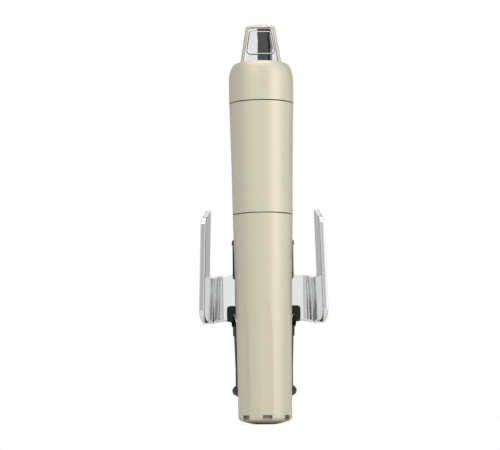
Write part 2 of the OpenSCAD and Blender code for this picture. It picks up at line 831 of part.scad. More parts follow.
module blade_outline(z0, gap) {
    r = blade_corner_r + gap;
    polygon(concat(
        [[-blade_half(z0, gap), z0], [blade_half(z0, gap), z0]],
        arc(blade_half(blade_top, gap) - r, blade_top + gap - r, r, 8, 90, 5),
        arc(-blade_half(blade_top, gap) + r, blade_top + gap - r, r, 90, 172, 5)));
}

// Frame of the hood's back: +Z runs up the leaning face and +Y into the hood
module in_hood_plane() {
    translate([0, -hood_back, deck_z]) rotate([-lean, 0, 0]) children();
}

module spout_line(t = 0) {
    translate([0, spout_y, spout_z]) rotate([spout_angle - 90, 0, 0]) translate([0, 0, t]) children();
}

module head_cover() {
    color([0.80, 0.77, 0.67])
    difference() {
        union() {
            head_form(0, head_z + seam / 2);
            hood_form(0);
        }
        head_form(head_wall, head_z - lap);
        hood_form(head_wall);
        in_hood_plane() upright(-blade_slot, blade_slot) blade_outline(0, trigger_gap);
        in_hood_plane() upright(trigger_recess - trigger_gap, blade_slot)
            blade_outline(-blade_slot, trigger_gap);
        spout_line(spout_exit - blade_slot) cylinder(r = spout_r + screw_gap, h = 2 * blade_slot);
    }
}

module at_needle_2d() {
    translate([0, needle_y]) children();
}

post_x = 8.5;
post_y = needle_y - 11.5;
post_r = 2.6;
post_h = 7;
post_bar_w = 3;
post_bar_h = 3.5;
underplate_screw_spots = [[-post_x, post_y], [post_x, post_y]];
underplate_screw_l = 6;
small_screw_r = 1.1;
hub_boss_r = hub_r + 1.4;

// Plate under the nose, which wraps round the handle and the needle's boss
module head_underplate() {
    color([0.10, 0.10, 0.11])
    difference() {
        translate([0, 0, underplate_z]) linear_extrude(underplate_t) difference() {
            intersection() {
                head_plan(head_step);
                translate([-head_r, rail_y + rail_gap]) square([2 * head_r, needle_y + nose_r]);
            }
            circle(r = head_r + run_gap);
        }
        at_needle(underplate_z - lap) cylinder(r = hub_boss_r + run_gap, h = underplate_t + 2 * lap);
        for (p = underplate_screw_spots) translate([p[0], p[1], underplate_z - lap])
            cylinder(r = small_screw_r + screw_gap, h = underplate_t + 2 * lap);
    }
}

module underplate_screws() {
    color([0.6, 0.61, 0.63])
    for (p = underplate_screw_spots)
        translate([p[0], p[1], underplate_z]) rotate([180, 0, 0])
            screw(small_screw_r, underplate_screw_l, small_head_r, small_head_h);
}

manifold_base_t = 3.5;
manifold_base_r = 12.4;
manifold_screw_z = bonnet_z1 + manifold_base_t;
manifold_head_r = 2.2;
manifold_head_h = 1.6;
block_half_w = 8;
block_y0 = -3.6;
block_y1 = 16;
block_h = 13.5;
arm_half_w = 5;
gallery_r = 1;
gallery_wall = 1.6;
gallery_z = underplate_z + shank_l + 5;
gallery_top = gallery_z + gallery_r + gallery_wall;
gallery_y = 11;
riser_y = 3;
riser_r = 0.9;
wine_port_r = 1.6;
socket_wall = 1.2;
socket_start = 2;
socket_end = spout_exit - 2.4;
trigger_ear_t = 2;

// Valve block: a round base on the bonnet, the valve's tower, and an arm to the needle's boss
module manifold() {
    color([0.70, 0.71, 0.73])
    difference() {
        union() {
            translate([0, 0, bonnet_z1]) cylinder(r = manifold_base_r, h = manifold_base_t);
            translate([-block_half_w, block_y0, bonnet_z1])
                cube([2 * block_half_w, block_y1 - block_y0, block_h]);
            translate([-tower_half_w, tower_y0, bonnet_z1 + block_h - lap])
                cube([2 * tower_half_w, tower_y1 - tower_y0, tower_top_z - bonnet_z1 - block_h + lap]);
            translate([-arm_half_w, block_y1 - lap, bonnet_z1])
                cube([2 * arm_half_w, needle_y - block_y1 + lap, gallery_top - bonnet_z1]);
            at_needle(underplate_z) cylinder(r = hub_boss_r, h = gallery_top - underplate_z);
            spout_line(socket_start) cylinder(r = spout_r + socket_wall, h = socket_end - socket_start);
            for (x = [-1, 1]) translate([x * (block_half_w - trigger_ear_t / 2), 0, 0])
                upright_x(trigger_ear_t) ear_outline();
            for (p = underplate_screw_spots)
                translate([p[0], p[1], head_z]) cylinder(r = post_r, h = post_h);
            translate([-post_x, post_y - post_bar_w / 2, head_z + post_h - post_bar_h])
                cube([2 * post_x, post_bar_w, post_bar_h]);
        }
        translate([0, spool_bore_end, spool_z]) rotate([90, 0, 0])
            cylinder(r = spool_r + pin_gap, h = spool_bore_end - tower_y0 + lap);
        spout_line(spout_root) cylinder(r = spout_r - spout_step + pin_gap, h = through);
        spout_line() cylinder(r = wine_port_r, h = spout_root + lap);
        at_needle(underplate_z - lap) cylinder(r = shank_r + pin_gap, h = shank_l + 2 * lap);
        at_needle(underplate_z) cylinder(r = gallery_r, h = gallery_z - underplate_z);
        translate([0, gallery_y, gallery_z]) rotate([-90, 0, 0])
            cylinder(r = gallery_r, h = needle_y - gallery_y);
        translate([0, gallery_y, gallery_z]) cylinder(r = gallery_r, h = spool_z - gallery_z);
        translate([0, 0, bonnet_z1 - lap]) cylinder(r = plenum_r, h = 2 * lap);
        translate([0, riser_y, bonnet_z1]) cylinder(r = riser_r, h = spool_z - bonnet_z1);
        translate([0, pin_y, trigger_pin_z]) rotate([0, 90, 0])
            cylinder(r = trigger_pin_r + 2 * eps, h = through, center = true);
        for (x = [-1, 1]) translate([x * manifold_screw_x, 0, 0]) {
            translate([0, 0, bonnet_z1 - lap])
                cylinder(r = manifold_screw_r + pin_gap, h = manifold_base_t + 2 * lap);
            translate([0, 0, manifold_screw_z]) cylinder(r = manifold_head_r + run_gap, h = block_h);
        }
        for (p = underplate_screw_spots) translate([p[0], p[1], head_z - lap])
            cylinder(r = small_screw_r + pin_gap, h = underplate_screw_l - underplate_t + 2 * lap);
    }
}

// Outline in Y and Z of an ear that holds the trigger's pin
module ear_outline() {
    r = trigger_pin_r + 1.8;
    root = block_y0 + 0.6;
    translate([pin_y, trigger_pin_z]) circle(r = r);
    polygon([[pin_y - r, trigger_pin_z], [pin_y - lap, bonnet_z1 + r], [root, bonnet_z1 + r],
             [root, trigger_pin_z + trigger_ear_t], [pin_y, trigger_pin_z + r]]);
}

// Stands an outline drawn in Y and Z upright, t wide and centred on X
module upright_x(t) {
    rotate([90, 0, 90]) linear_extrude(t, center = true) children();
}

module manifold_screws() {
    color([0.6, 0.61, 0.63])
    for (x = [-1, 1])
        translate([x * manifold_screw_x, 0, manifold_screw_z])
            screw(manifold_screw_r, manifold_screw_l, manifold_head_r, manifold_head_h);
}

module spool_gland() {
    color([0.72, 0.73, 0.75])
    translate([0, tower_y0, spool_z]) rotate([90, 0, 0])
        ring(gland_r, spool_stem_r + pin_gap, gland_t);
}

spool_grooves = [1.6, 5.8];

module valve_spool() {
    color([0.72, 0.73, 0.75])
    translate([0, spool_y0, spool_z]) rotate([-90, 0, 0]) difference() {
        union() {
            translate([0, 0, spool_tip_y - spool_y0])
                cylinder(r = spool_stem_r, h = spool_y0 - spool_tip_y + lap);
            cylinder(r = spool_r, h = spool_l);
        }
        for (y = spool_grooves) translate([0, 0, y])
            ring(spool_r + lap, spool_r - small_groove_d, small_groove_w);
    }
}

module spool_seals() {
    color([0.1, 0.1, 0.1])
    for (y = spool_grooves) translate([0, spool_y0 + y + small_groove_w / 2, spool_z])
        rotate([90, 0, 0]) o_ring(spool_r - small_wire_r, small_wire_r);
}

module spool_spring() {
    color([0.7, 0.71, 0.73])
    translate([0, spool_y1, spool_z]) rotate([-90, 0, 0])
        coil(spool_coil_r, spool_wire_r, spool_bore_end - spool_y1, spool_turns);
}

module trigger_pin() {
    color([0.72, 0.73, 0.75])
    translate([0, pin_y, trigger_pin_z]) rotate([0, 90, 0])
        cylinder(r = trigger_pin_r, h = 2 * block_half_w, center = true);
}

module trigger_lever() {
    stem_half = block_half_w - trigger_ear_t - run_gap;
    color([0.78, 0.79, 0.80])
    difference() {
        union() {
            in_hood_plane() upright(trigger_recess, trigger_recess + trigger_t)
                blade_outline(-blade_drop, 0);
            translate([-stem_half, pin_y - stem_t / 2, trigger_pin_z])
                cube([2 * stem_half, stem_t, stem_h]);
            translate([0, pin_y, trigger_pin_z]) rotate([0, 90, 0])
                cylinder(r = knuckle_r, h = 2 * stem_half, center = true);
            translate([0, spool_tip_y - screw_gap - nose_cylinder_r, spool_z]) rotate([0, 90, 0])
                cylinder(r = nose_cylinder_r, h = nose_cylinder_w, center = true);
        }
        translate([0, pin_y, trigger_pin_z]) rotate([0, 90, 0])
            cylinder(r = trigger_pin_r + pin_gap, h = through, center = true);
    }
}

// Raised pad with round corners on the trigger's face
module pad_outline() {
    r0 = 2.6;
    r1 = 1.8;
    polygon(concat(
        arc(pad_w / 2 - r0, pad_z + r0, r0, -90, 0, 5),
        arc(pad_top_w / 2 - r1, pad_z + pad_h - r1, r1, 8, 90, 5),
        arc(-pad_top_w / 2 + r1, pad_z + pad_h - r1, r1, 90, 172, 5),
        arc(-pad_w / 2 + r0, pad_z + r0, r0, 180, 270, 5)));
}

module trigger_pad() {
    color([0.80, 0.81, 0.82])
    in_hood_plane() upright(trigger_recess - pad_proud, trigger_recess) pad_outline();
}

// Tube with a bevelled end, a hair thinner where it sits in its socket
module spout_tube() {
    l = spout_exit + spout_l - spout_root;
    land = spout_exit + spout_land - spout_root;
    bevel = 28;
    color([0.78, 0.79, 0.80])
    spout_line(spout_root) difference() {
        union() {
            cylinder(r = spout_r - spout_step, h = l - lap);
            translate([0, 0, land]) cylinder(r = spout_r, h = l - land);
        }
        translate([0, 0, -lap]) cylinder(r = spout_r - spout_wall, h = l + 2 * lap);
        translate([0, 0, l]) rotate([-bevel, 0, 0])
            translate([-through / 2, -through / 2, 0]) cube([through, through, through]);
    }
}

module spout_seal() {
    color([0.1, 0.1, 0.1])
    spout_line(spout_exit + run_gap) ring(spout_r + 1, spout_r - spout_step + 2 * eps, 0.9);
}

// ---------- needle ----------

module needle_hub() {
    ribs = 20;
    rib_w = 0.9;
    rib_margin = 2.2;
    color([0.70, 0.71, 0.73])
    at_needle() difference() {
        union() {
            translate([0, 0, hub_z]) cylinder(r1 = hub_r - hub_chamfer, r2 = hub_r, h = hub_chamfer);
            translate([0, 0, hub_z + hub_chamfer]) cylinder(r = hub_r, h = hub_h - hub_chamfer);
            translate([0, 0, underplate_z - lap]) cylinder(r = shank_r, h = shank_l + lap);
            translate([0, 0, hub_z - hub_nose_h])
                cylinder(r1 = hub_nose_r, r2 = hub_nose_root_r, h = hub_nose_h + eps);
        }
        translate([0, 0, hub_z - hub_nose_h - lap]) cylinder(r = needle_r + eps, h = through);
        for (i = [0:ribs - 1]) rotate([0, 0, i * 360 / ribs]) translate([hub_r, 0, hub_z + rib_margin])
            rotate([0, 0, 45]) translate([-rib_w / 2, -rib_w / 2, 0])
                cube([rib_w, rib_w, hub_h - 2 * rib_margin]);
    }
}

module needle() {
    z1 = underplate_z + shank_l - lap;
    bore_z = tip_z + needle_tip_l + 1;
    color([0.72, 0.73, 0.75])
    at_needle() difference() {
        union() {
            translate([0, 0, tip_z + needle_tip_l]) cylinder(r = needle_r, h = z1 - tip_z - needle_tip_l);
            translate([0, 0, tip_z]) cylinder(r1 = needle_r / 8, r2 = needle_r, h = needle_tip_l + eps);
        }
        translate([0, 0, bore_z]) cylinder(r = needle_r * 0.55, h = z1 - tip_z);
        translate([0, 0, bore_z + needle_r]) rotate([-90, 0, 0]) cylinder(r = needle_r * 0.5, h = lap);
    }
}

module needle_washer() {
    color([0.9, 0.9, 0.88])
    at_needle(underplate_z + shank_l) ring(shank_r - screw_gap, gallery_r, 1);
}

// ---------- rail ----------

module rail() {
    color([0.13, 0.13, 0.14])
    difference() {
        union() {
            translate([-web_half_w, rail_y, rail_bottom])
                cube([2 * web_half_w, web_t + eps, rail_top - rail_bottom]);
            translate([-flange_half_w, rail_y + web_t, rail_bottom])
                cube([2 * flange_half_w, flange_t, rail_top - rail_bottom]);
        }
        for (z = rail_screw_zs) {
            translate([0, rail_y - lap, z]) rotate([-90, 0, 0])
                cylinder(r = rail_screw_r + screw_gap, h = rail_front - rail_y + 2 * lap);
            translate([0, rail_front - screw_sink, z]) rotate([-90, 0, 0])
                cylinder(r = 2 * rail_screw_r + screw_gap, h = screw_sink + lap);
        }
        translate([0, rail_y - lap, end_stop_z]) rotate([-90, 0, 0])
            cylinder(r = end_stop_screw_r + pin_gap, h = rail_front - rail_y + 2 * lap);
    }
}

module rail_screws() {
    color([0.6, 0.61, 0.63])
    for (z = rail_screw_zs)
        translate([0, rail_front - screw_sink, z]) rotate([-90, 0, 0])
            screw(rail_screw_r, rail_front - screw_sink - screw_hole_end - run_gap, 2 * rail_screw_r,
                  rail_screw_head_h);
}

module rail_end_stop() {
    color([0.6, 0.61, 0.63])
    translate([0, rail_front, end_stop_z]) rotate([-90, 0, 0])
        screw(end_stop_screw_r, rail_front - rail_y, end_stop_r, end_stop_head_h);
}

// ---------- carriage ----------

cap_screw_x = 13.5;
carriage_mid_y = (carriage_y0 + carriage_y1) / 2;

module rail_channel(z0, z1) {
    g = run_gap;
    translate([-flange_half_w - g, rail_y + web_t - g, z0])
        cube([2 * (flange_half_w + g), flange_t + 2 * g, z1 - z0]);
    translate([-web_half_w - g, rail_y - web_t, z0])
        cube([2 * (web_half_w + g), 2 * web_t + flange_t, z1 - z0]);
}

module at_hinge_pins() {
    for (x = [-1, 1]) translate([x * pin_x, 0, pin_z]) rotate([-90, 0, 0]) children();
}

module at_cap_screws() {
    for (x = [-1, 1]) translate([x * cap_screw_x, carriage_mid_y, 0]) children();
}

module carriage_frame() {
    foot_z = mouth_z + foot_pad_t;
    color([0.10, 0.10, 0.11])
    difference() {
        union() {
            translate([0, carriage_mid_y, block_z]) linear_extrude(cap_z - seam - block_z)
                soft_rect(2 * carriage_half_w, carriage_d, carriage_corner_r);
            translate([-spine_half_w, carriage_y0, foot_z])
                cube([2 * spine_half_w, carriage_d, block_z - foot_z + eps]);
            at_needle(foot_z) cylinder(r = column_r, h = column_top - foot_z);
            translate([-column_web_half_w, carriage_y1 - eps, foot_z])
                cube([2 * column_web_half_w, needle_y - carriage_y1, column_top - foot_z - 1.5]);
            upright(carriage_y0, carriage_y0 + lug_t) lug_outline();
            upright(front_lug_y, front_lug_y + lug_t) lug_outline();
        }
        rail_channel(mouth_z - lap, cap_top);
        at_hinge_pins() cylinder(r = pin_r + 2 * eps, h = through);
        at_needle(mouth_z) cylinder(r = bush_r + 2 * eps, h = column_top);
        translate([0, rail_front, brake_z]) rotate([-90, 0, 0])
            cylinder(r = brake_r + flange_fit, h = brake_t + flange_fit);
        at_cap_screws() translate([0, 0, cap_top - cap_screw_sink - cap_screw_l - lap])
            cylinder(r = cap_screw_r + flange_fit, h = cap_screw_l);
    }
}

// Cross bar with a rounded ear round each hinge pin, cut back under its middle
module lug_outline() {
    half = pin_x + lug_half_w;
    top_r = 2;
    foot_r = 1.2;
    top = pin_z + lug_top;
    foot = mouth_z + 0.2;
    difference() {
        union() {
            translate([-half + top_r, top - 2 * top_r]) square([2 * (half - top_r), 2 * top_r]);
            translate([-half, foot + foot_r]) square([2 * half, top - foot - top_r - foot_r]);
            translate([-half + foot_r, foot]) square([2 * (half - foot_r), 2 * foot_r]);
            for (x = [-1, 1]) {
                translate([x * (half - top_r), top - top_r]) circle(r = top_r);
                translate([x * (half - foot_r), foot + foot_r]) circle(r = foot_r);
            }
        }
        translate([-pin_x + foot_r, foot - lap])
            square([2 * (pin_x - foot_r), mouth_z + foot_pad_t + lap - foot]);
    }
}

module brake_pad() {
    color([0.85, 0.84, 0.80])
    translate([0, rail_front + flange_fit, brake_z]) rotate([-90, 0, 0])
        cylinder(r = brake_r, h = brake_t);
}

// Cap with a rounded top edge, screwed to the carriage over a narrow groove
module carriage_cap() {
    edge_r = 2.2;
    overhang = 0.4;
    color([0.10, 0.10, 0.11])
    difference() {
        translate([0, carriage_mid_y, 0]) union() {
            translate([0, 0, cap_z]) linear_extrude(cap_h - edge_r)
                soft_rect(2 * (carriage_half_w + overhang), carriage_d, carriage_corner_r);
            hull() for (a = [0:22.5:90])
                translate([0, 0, cap_top - edge_r + (edge_r - eps) * sin(a)]) linear_extrude(eps)
                    soft_rect(2 * (carriage_half_w + overhang - edge_r * (1 - cos(a))),
                              carriage_d - 0.8 * edge_r * (1 - cos(a)),
                              carriage_corner_r - edge_r * (1 - cos(a)));
        }
        rail_channel(cap_z - lap, cap_top + lap);
        at_cap_screws() {
            translate([0, 0, cap_z - lap]) cylinder(r = cap_screw_r + screw_gap, h = cap_h + 2 * lap);
            translate([0, 0, cap_top - cap_screw_sink])
                cylinder(r = cap_screw_head_r + screw_gap, h = cap_screw_sink + lap);
        }
    }
}

module cap_screws() {
    color([0.6, 0.61, 0.63])
    at_cap_screws() translate([0, 0, cap_top - cap_screw_sink])
        screw(cap_screw_r, cap_screw_l, cap_screw_head_r, cap_screw_sink - 2 * screw_gap);
}

module guide_bush() {
    color([0.9, 0.9, 0.88])
    at_needle(mouth_z + 1) ring(bush_r, needle_r + screw_gap, column_top - mouth_z);
}

module foot_pad() {
    edge = 0.8;
    color([0.13, 0.13, 0.13])
    at_needle(mouth_z) difference() {
        union() {
            translate([0, 0, edge]) cylinder(r = foot_pad_r, h = foot_pad_t - edge);
            cylinder(r1 = foot_pad_r - edge, r2 = foot_pad_r, h = edge + eps);
        }
        translate([0, 0, -lap]) cylinder(r = bush_r + 2 * eps, h = foot_pad_t + 2 * lap);
    }
}

module hinge_pins() {
    color([0.72, 0.73, 0.75])
    translate([0, carriage_y0, 0]) at_hinge_pins() cylinder(r = pin_r, h = front_lug_y + lug_t - carriage_y0);
}

arm_spring_r = pin_r + 0.75;
arm_wire_r = 0.35;

module arm_spring(side) {
    color([0.7, 0.71, 0.73])
    translate([side * pin_x, spring_y, pin_z]) rotate([-90, 0, 0])
        coil(arm_spring_r, arm_wire_r, arm_spring_l, arm_spring_turns);
}

// ---------- clamp arms, drawn on the right and mirrored to the left ----------

// Lever outline in X and Z: it rises towards the handle along both edges
module bar_outline() {
    inner_x = pin_x - 3;
    outer_x = crease_x + 0.6;
    top_r = 2.4;
    foot_r = 1.6;
    polygon(concat(
        [[outer_x, bar_z0], [outer_x, bar_z1]],
        arc(inner_x + top_r, bar_z1 + bar_rise - top_r, top_r, 84, 180, 5),
        arc(inner_x + foot_r, bar_z0 + bar_rise + foot_r, foot_r, 180, 262, 4)));
}

paddle_u0 = -bar_t / cos(toe);
ledge_drop = 0.5;

module paddle_outline() {
    r_foot = 9;
    r_top = 5;
    r_fillet = 2;
    z1 = bar_z0 + paddle_h;
    ledge_z = bar_z1 - ledge_drop;
    front_u = paddle_d - upper_d;
    polygon(concat(
        [[paddle_u0, bar_z0]],
        arc(paddle_d - r_foot, bar_z0 - 0.6 + r_foot, r_foot, -90, 0, 8),
        arc(paddle_d - r_top, z1 - paddle_slope - r_top, r_top, 0, 80, 6),
        [[front_u, z1], [front_u - lap, z1 - lap]],
        [for (a = [0:22.5:90]) [front_u - r_fillet * (1 - cos(a)), ledge_z + r_fillet * (1 - sin(a))]],
        [[paddle_u0, ledge_z]]));
}

module right_lever_form() {
    difference() {
        union() {
            upright(bar_back, bar_front) bar_outline();
            translate([crease_x, bar_back, bar_z0]) rotate([0, -paddle_lean, 0])
                rotate([0, 0, toe - 90]) translate([0, paddle_t, -bar_z0]) rotate([90, 0, 0])
                    linear_extrude(paddle_t) paddle_outline();
        }
        at_hinge_pins() cylinder(r = pin_r + pin_gap, h = through);
        for (p = jaw_screw_spots) translate([p[0], bar_front - jaw_screw_bite - flange_fit, p[1]])
            rotate([-90, 0, 0]) cylinder(r = jaw_screw_r + flange_fit, h = bar_t);
    }
}

// Section of the leg: a relief for the lip above, a seat for the grip pad below, and a
// flared toe that leads the bottle in
grip_step = 2;
leg_outer_top = relief_r + 2.4;
leg_outer_low = grip_seat_r + 2.1;
leg_section = concat(
    [[grip_seat_r, leg_z + 1.2], [grip_seat_r + 1.2, leg_z]],
    arc(leg_outer_low - 0.4, leg_z + 4.2, 2.5, -62, 58, 6),
    [[leg_outer_low - 0.1, leg_z + 8.6], [leg_outer_low, leg_z + grip_h],
     [leg_outer_top, mouth_z - 1], [relief_r, mouth_z - 1],
     [relief_r, grip_z + grip_h + grip_step], [grip_seat_r, grip_z + grip_h]]);

knuckle_half_w = lug_half_w;
shelf_z = mouth_z - 3;
shelf_t = 2.6;

module right_jaw_form() {
    knuckle_x = pin_x - 2;
    difference() {
        union() {
            at_needle() rotate([0, 0, -jaw_half_angle])
                rotate_extrude(angle = 2 * jaw_half_angle) polygon(leg_section);
            translate([neck_r, knuckle_y, shelf_z])
                cube([pin_x + knuckle_half_w - neck_r, front_lug_y - run_gap - knuckle_y, shelf_t]);
            translate([knuckle_x, knuckle_y, shelf_z])
                cube([pin_x + knuckle_half_w - knuckle_x, bar_back - knuckle_y, pin_z + lug_top - shelf_z]);
            upright(bar_front, bar_front + plate_t) polygon([
                [pin_x - 2.4, shelf_z], [crease_x - 2, shelf_z + 1.4], [crease_x - 2, pin_z + 1.5],
                [pin_x + 5, pin_z + 12.5], [pin_x - 2.4, pin_z + 12.5]]);
        }
        at_needle(leg_z - lap) cylinder(r = grip_seat_r, h = leg_l + 2 * plate_t + lap);
        at_needle(grip_z + grip_h + grip_step) cylinder(r = relief_r, h = mouth_z - grip_z - grip_h);
        at_hinge_pins() cylinder(r = pin_r + pin_gap, h = through);
        for (p = jaw_screw_spots) translate([p[0], bar_front - lap, p[1]]) rotate([-90, 0, 0])
            cylinder(r = jaw_screw_r + screw_gap, h = plate_t + 2 * lap);
    }
}

module right_grip_form() {
    at_needle(grip_z) rotate([0, 0, -jaw_half_angle + 2])
        rotate_extrude(angle = 2 * jaw_half_angle - 4)
            translate([neck_r, 0]) square([grip_t - grip_fit, grip_h]);
}

module right_jaw_screw_forms() {
    for (p = jaw_screw_spots) translate([p[0], bar_front + plate_t, p[1]]) rotate([-90, 0, 0])
        screw(jaw_screw_r, plate_t + jaw_screw_bite, small_head_r, small_head_h);
}

module sided(side) {
    mirror([side < 0 ? 1 : 0, 0, 0]) children();
}

module lever(side) {
    color([0.78, 0.79, 0.80]) sided(side) right_lever_form();
}

module jaw(side) {
    color([0.10, 0.10, 0.11]) sided(side) right_jaw_form();
}

module grip_pad(side) {
    color([0.16, 0.16, 0.16]) sided(side) right_grip_form();
}

module jaw_screws(side) {
    color([0.6, 0.61, 0.63]) sided(side) right_jaw_screw_forms();
}

echo(least_gap_regulator_spring = coil_gap(coil_r, coil_wire_r, spring_z1 - chamber_z, coil_turns));
echo(least_gap_spool_spring = coil_gap(spool_coil_r, spool_wire_r, spool_bore_end - spool_y1,
                                       spool_turns));
echo(least_gap_arm_spring = coil_gap(arm_spring_r, arm_wire_r, arm_spring_l, arm_spring_turns));

// ---------- nodes ----------

head_cover();
handle_sleeve();
head_underplate();
underplate_screws();
manifold();
manifold_screws();
spout_tube();
spout_seal();
needle_hub();
needle();
needle_washer();
regulator_body();
bonnet();
bonnet_seal();
outlet_seal();
capsule_seal();
piercing_lance();
inlet_filter();
spigot_seal();
rail();
rail_screws();
rail_end_stop();
trigger_pin();
spool_gland();
regulator_spring();
spool_spring();
regulator_piston();
piston_seals();
piston_seat();
trigger_lever();
trigger_pad();
valve_spool();
spool_seals();
gas_capsule();
capsule_cup();
cup_liner();
capsule_pad();
carriage_frame();
carriage_cap();
cap_screws();
guide_bush();
foot_pad();
hinge_pins();
brake_pad();
arm_spring(-1);  // left_arm_spring
lever(-1);  // left_lever
jaw(-1);  // left_jaw
grip_pad(-1);  // left_grip_pad
jaw_screws(-1);  // left_jaw_screws
arm_spring(1);  // right_arm_spring
lever(1);  // right_lever
jaw(1);  // right_jaw
grip_pad(1);  // right_grip_pad
jaw_screws(1);  // right_jaw_screws
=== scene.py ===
import math

import bmesh
import bpy
from mathutils import Matrix, Vector


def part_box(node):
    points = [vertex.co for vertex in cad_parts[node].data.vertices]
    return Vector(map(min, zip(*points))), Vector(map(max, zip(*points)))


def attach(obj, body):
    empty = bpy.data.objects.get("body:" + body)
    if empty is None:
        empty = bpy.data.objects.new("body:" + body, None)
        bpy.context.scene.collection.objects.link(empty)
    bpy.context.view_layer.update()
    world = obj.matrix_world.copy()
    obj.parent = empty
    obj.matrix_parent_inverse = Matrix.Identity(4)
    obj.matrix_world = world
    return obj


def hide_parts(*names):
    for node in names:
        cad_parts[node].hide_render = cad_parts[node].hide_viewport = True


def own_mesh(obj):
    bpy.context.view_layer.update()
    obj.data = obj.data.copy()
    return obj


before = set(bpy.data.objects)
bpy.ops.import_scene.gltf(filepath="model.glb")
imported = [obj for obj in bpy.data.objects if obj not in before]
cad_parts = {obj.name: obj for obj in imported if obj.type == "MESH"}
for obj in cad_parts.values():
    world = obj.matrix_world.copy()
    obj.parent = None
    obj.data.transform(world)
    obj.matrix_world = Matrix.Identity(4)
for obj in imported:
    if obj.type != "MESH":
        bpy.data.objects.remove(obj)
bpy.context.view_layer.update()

# ---------------------------------------------------------------------------
# Camera. The dispenser is seen from the back of its handle, with a long lens
# held close to the table, so that its seams arch upwards.
# ---------------------------------------------------------------------------
MM = 0.001
FRAME_W, FRAME_H = 500, 450
FOOT_ROW, AXIS_COLUMN = 424.5, 265.3
MM_PER_PIXEL = 0.5875
CAMERA_DISTANCE, CAMERA_HEIGHT = 1200.0, 3.5
CAMERA_ROLL = math.radians(0.7)


def put(name, data):
    """Adds an object to the scene."""
    obj = bpy.data.objects.new(name, data)
    bpy.context.scene.collection.objects.link(obj)
    return obj


lens = bpy.data.cameras.new("long_lens")
camera = put("long_lens", lens)
bpy.context.scene.camera = camera
bpy.context.scene.view_settings.view_transform = "Standard"
pixels_of_focus = CAMERA_DISTANCE / MM_PER_PIXEL
lens.sensor_width = 36.0
lens.lens = pixels_of_focus / FRAME_W * lens.sensor_width
lens.clip_start, lens.clip_end = 0.05, 40
horizon = FOOT_ROW - CAMERA_HEIGHT / MM_PER_PIXEL
pitch = math.atan((horizon - FRAME_H / 2) / pixels_of_focus)
# the foot of the handle's axis lands on AXIS_COLUMN, and the lens points at the middle column
foot_shift = math.sin(CAMERA_ROLL) * (FOOT_ROW - FRAME_H / 2)
camera_x = -(AXIS_COLUMN - FRAME_W / 2 - foot_shift) * MM_PER_PIXEL
camera.location = Vector((camera_x, -CAMERA_DISTANCE, CAMERA_HEIGHT)) * MM
camera.rotation_mode = "QUATERNION"
look = Matrix.Rotation(math.pi / 2 + pitch, 4, "X") @ Matrix.Rotation(-CAMERA_ROLL, 4, "Z")
camera.rotation_quaternion = look.to_quaternion()

# ---------------------------------------------------------------------------
# Table and cards. The dispenser stands on a matt white table. Plain cards are
# set up round it for the chrome to mirror; the camera looks through them.
# ---------------------------------------------------------------------------
TABLE_HALF, TABLE_WHITE, TABLE_GLOW = 420, (0.86, 0.85, 0.83, 1), 0.24
HANG_Y, HANG_Z = -755, 721
HANG_BACK, HANG_UP = 0.551, 0.834
STAND_BEHIND, STAND_APART, STAND_SHADE = 50, 7.2, 0.012
STAND_OUTLINE = ((-1.1, 20), (1.1, 20), (1.5, 60), (1.2, 84), (2.0, 104), (1.6, 124), (0.9, 140), (1.6, 165),
                 (1.9, 240), (-1.7, 240), (-1.3, 165), (-1.5, 140), (-1.9, 124), (-1.4, 104), (-1.6, 84),
                 (-1.0, 60))


def new_material(name):
    mat = bpy.data.materials.new(name)
    mat.use_nodes = True
    mat.node_tree.nodes.clear()
    return mat, mat.node_tree


def shader_node(tree, kind, *in_order, **by_name):
    """New shader node, with each socket set to a value or joined to another node."""
    made = tree.nodes.new("ShaderNode" + kind)
    for key, value in [*enumerate(in_order), *by_name.items()]:
        socket = made.inputs[key.replace("_", " ") if isinstance(key, str) else key]
        if isinstance(value, bpy.types.Node):
            value = value.outputs[0]
        if isinstance(value, bpy.types.NodeSocket):
            tree.links.new(value, socket)
        else:
            socket.default_value = value
    return made


def table_finish():
    """Matt white that burns out to plain white for the camera but keeps a faint shadow."""
    mat, tree = new_material("table_white")
    matt = shader_node(tree, "BsdfDiffuse", Color=TABLE_WHITE)
    lit = shader_node(tree, "AddShader", matt, shader_node(tree, "Emission", Strength=TABLE_GLOW))
    seen = shader_node(tree, "LightPath").outputs["Is Camera Ray"]
    shader_node(tree, "OutputMaterial", shader_node(tree, "MixShader", seen, matt, lit))
    return mat


def card_finish(name, shade):
    """Even grey for the metal to mirror, and clear to the camera."""
    mat, tree = new_material(name)
    grey = shader_node(tree, "Emission", Color=(shade, shade, shade, 1))
    seen = shader_node(tree, "LightPath").outputs["Is Camera Ray"]
    mix = shader_node(tree, "MixShader", seen, grey, shader_node(tree, "BsdfTransparent"))
    shader_node(tree, "OutputMaterial", mix)
    return mat


def flat_sheet(name, corners, mat):
    mesh = bpy.data.meshes.new(name)
    mesh.from_pydata([Vector(c) * MM for c in corners], [], [tuple(range(len(corners)))])
    mesh.materials.append(mat)
    put(name, mesh)


def card(name, corners, shade):
    flat_sheet(name, corners, card_finish(name + "_shade", shade))


def upright_card(name, left, right, low, high, shade):
    """Card stood upright between two places on the floor."""
    card(name, [(*left, low), (*right, low), (*right, high), (*left, high)], shade)


def hanging_card(name, outline, shade):
    """Card of a drawn outline, hung on a slope where the trigger mirrors it towards the lens."""
    card(name, [(x, HANG_Y + HANG_BACK * up, HANG_Z + HANG_UP * up) for x, up in outline], shade)


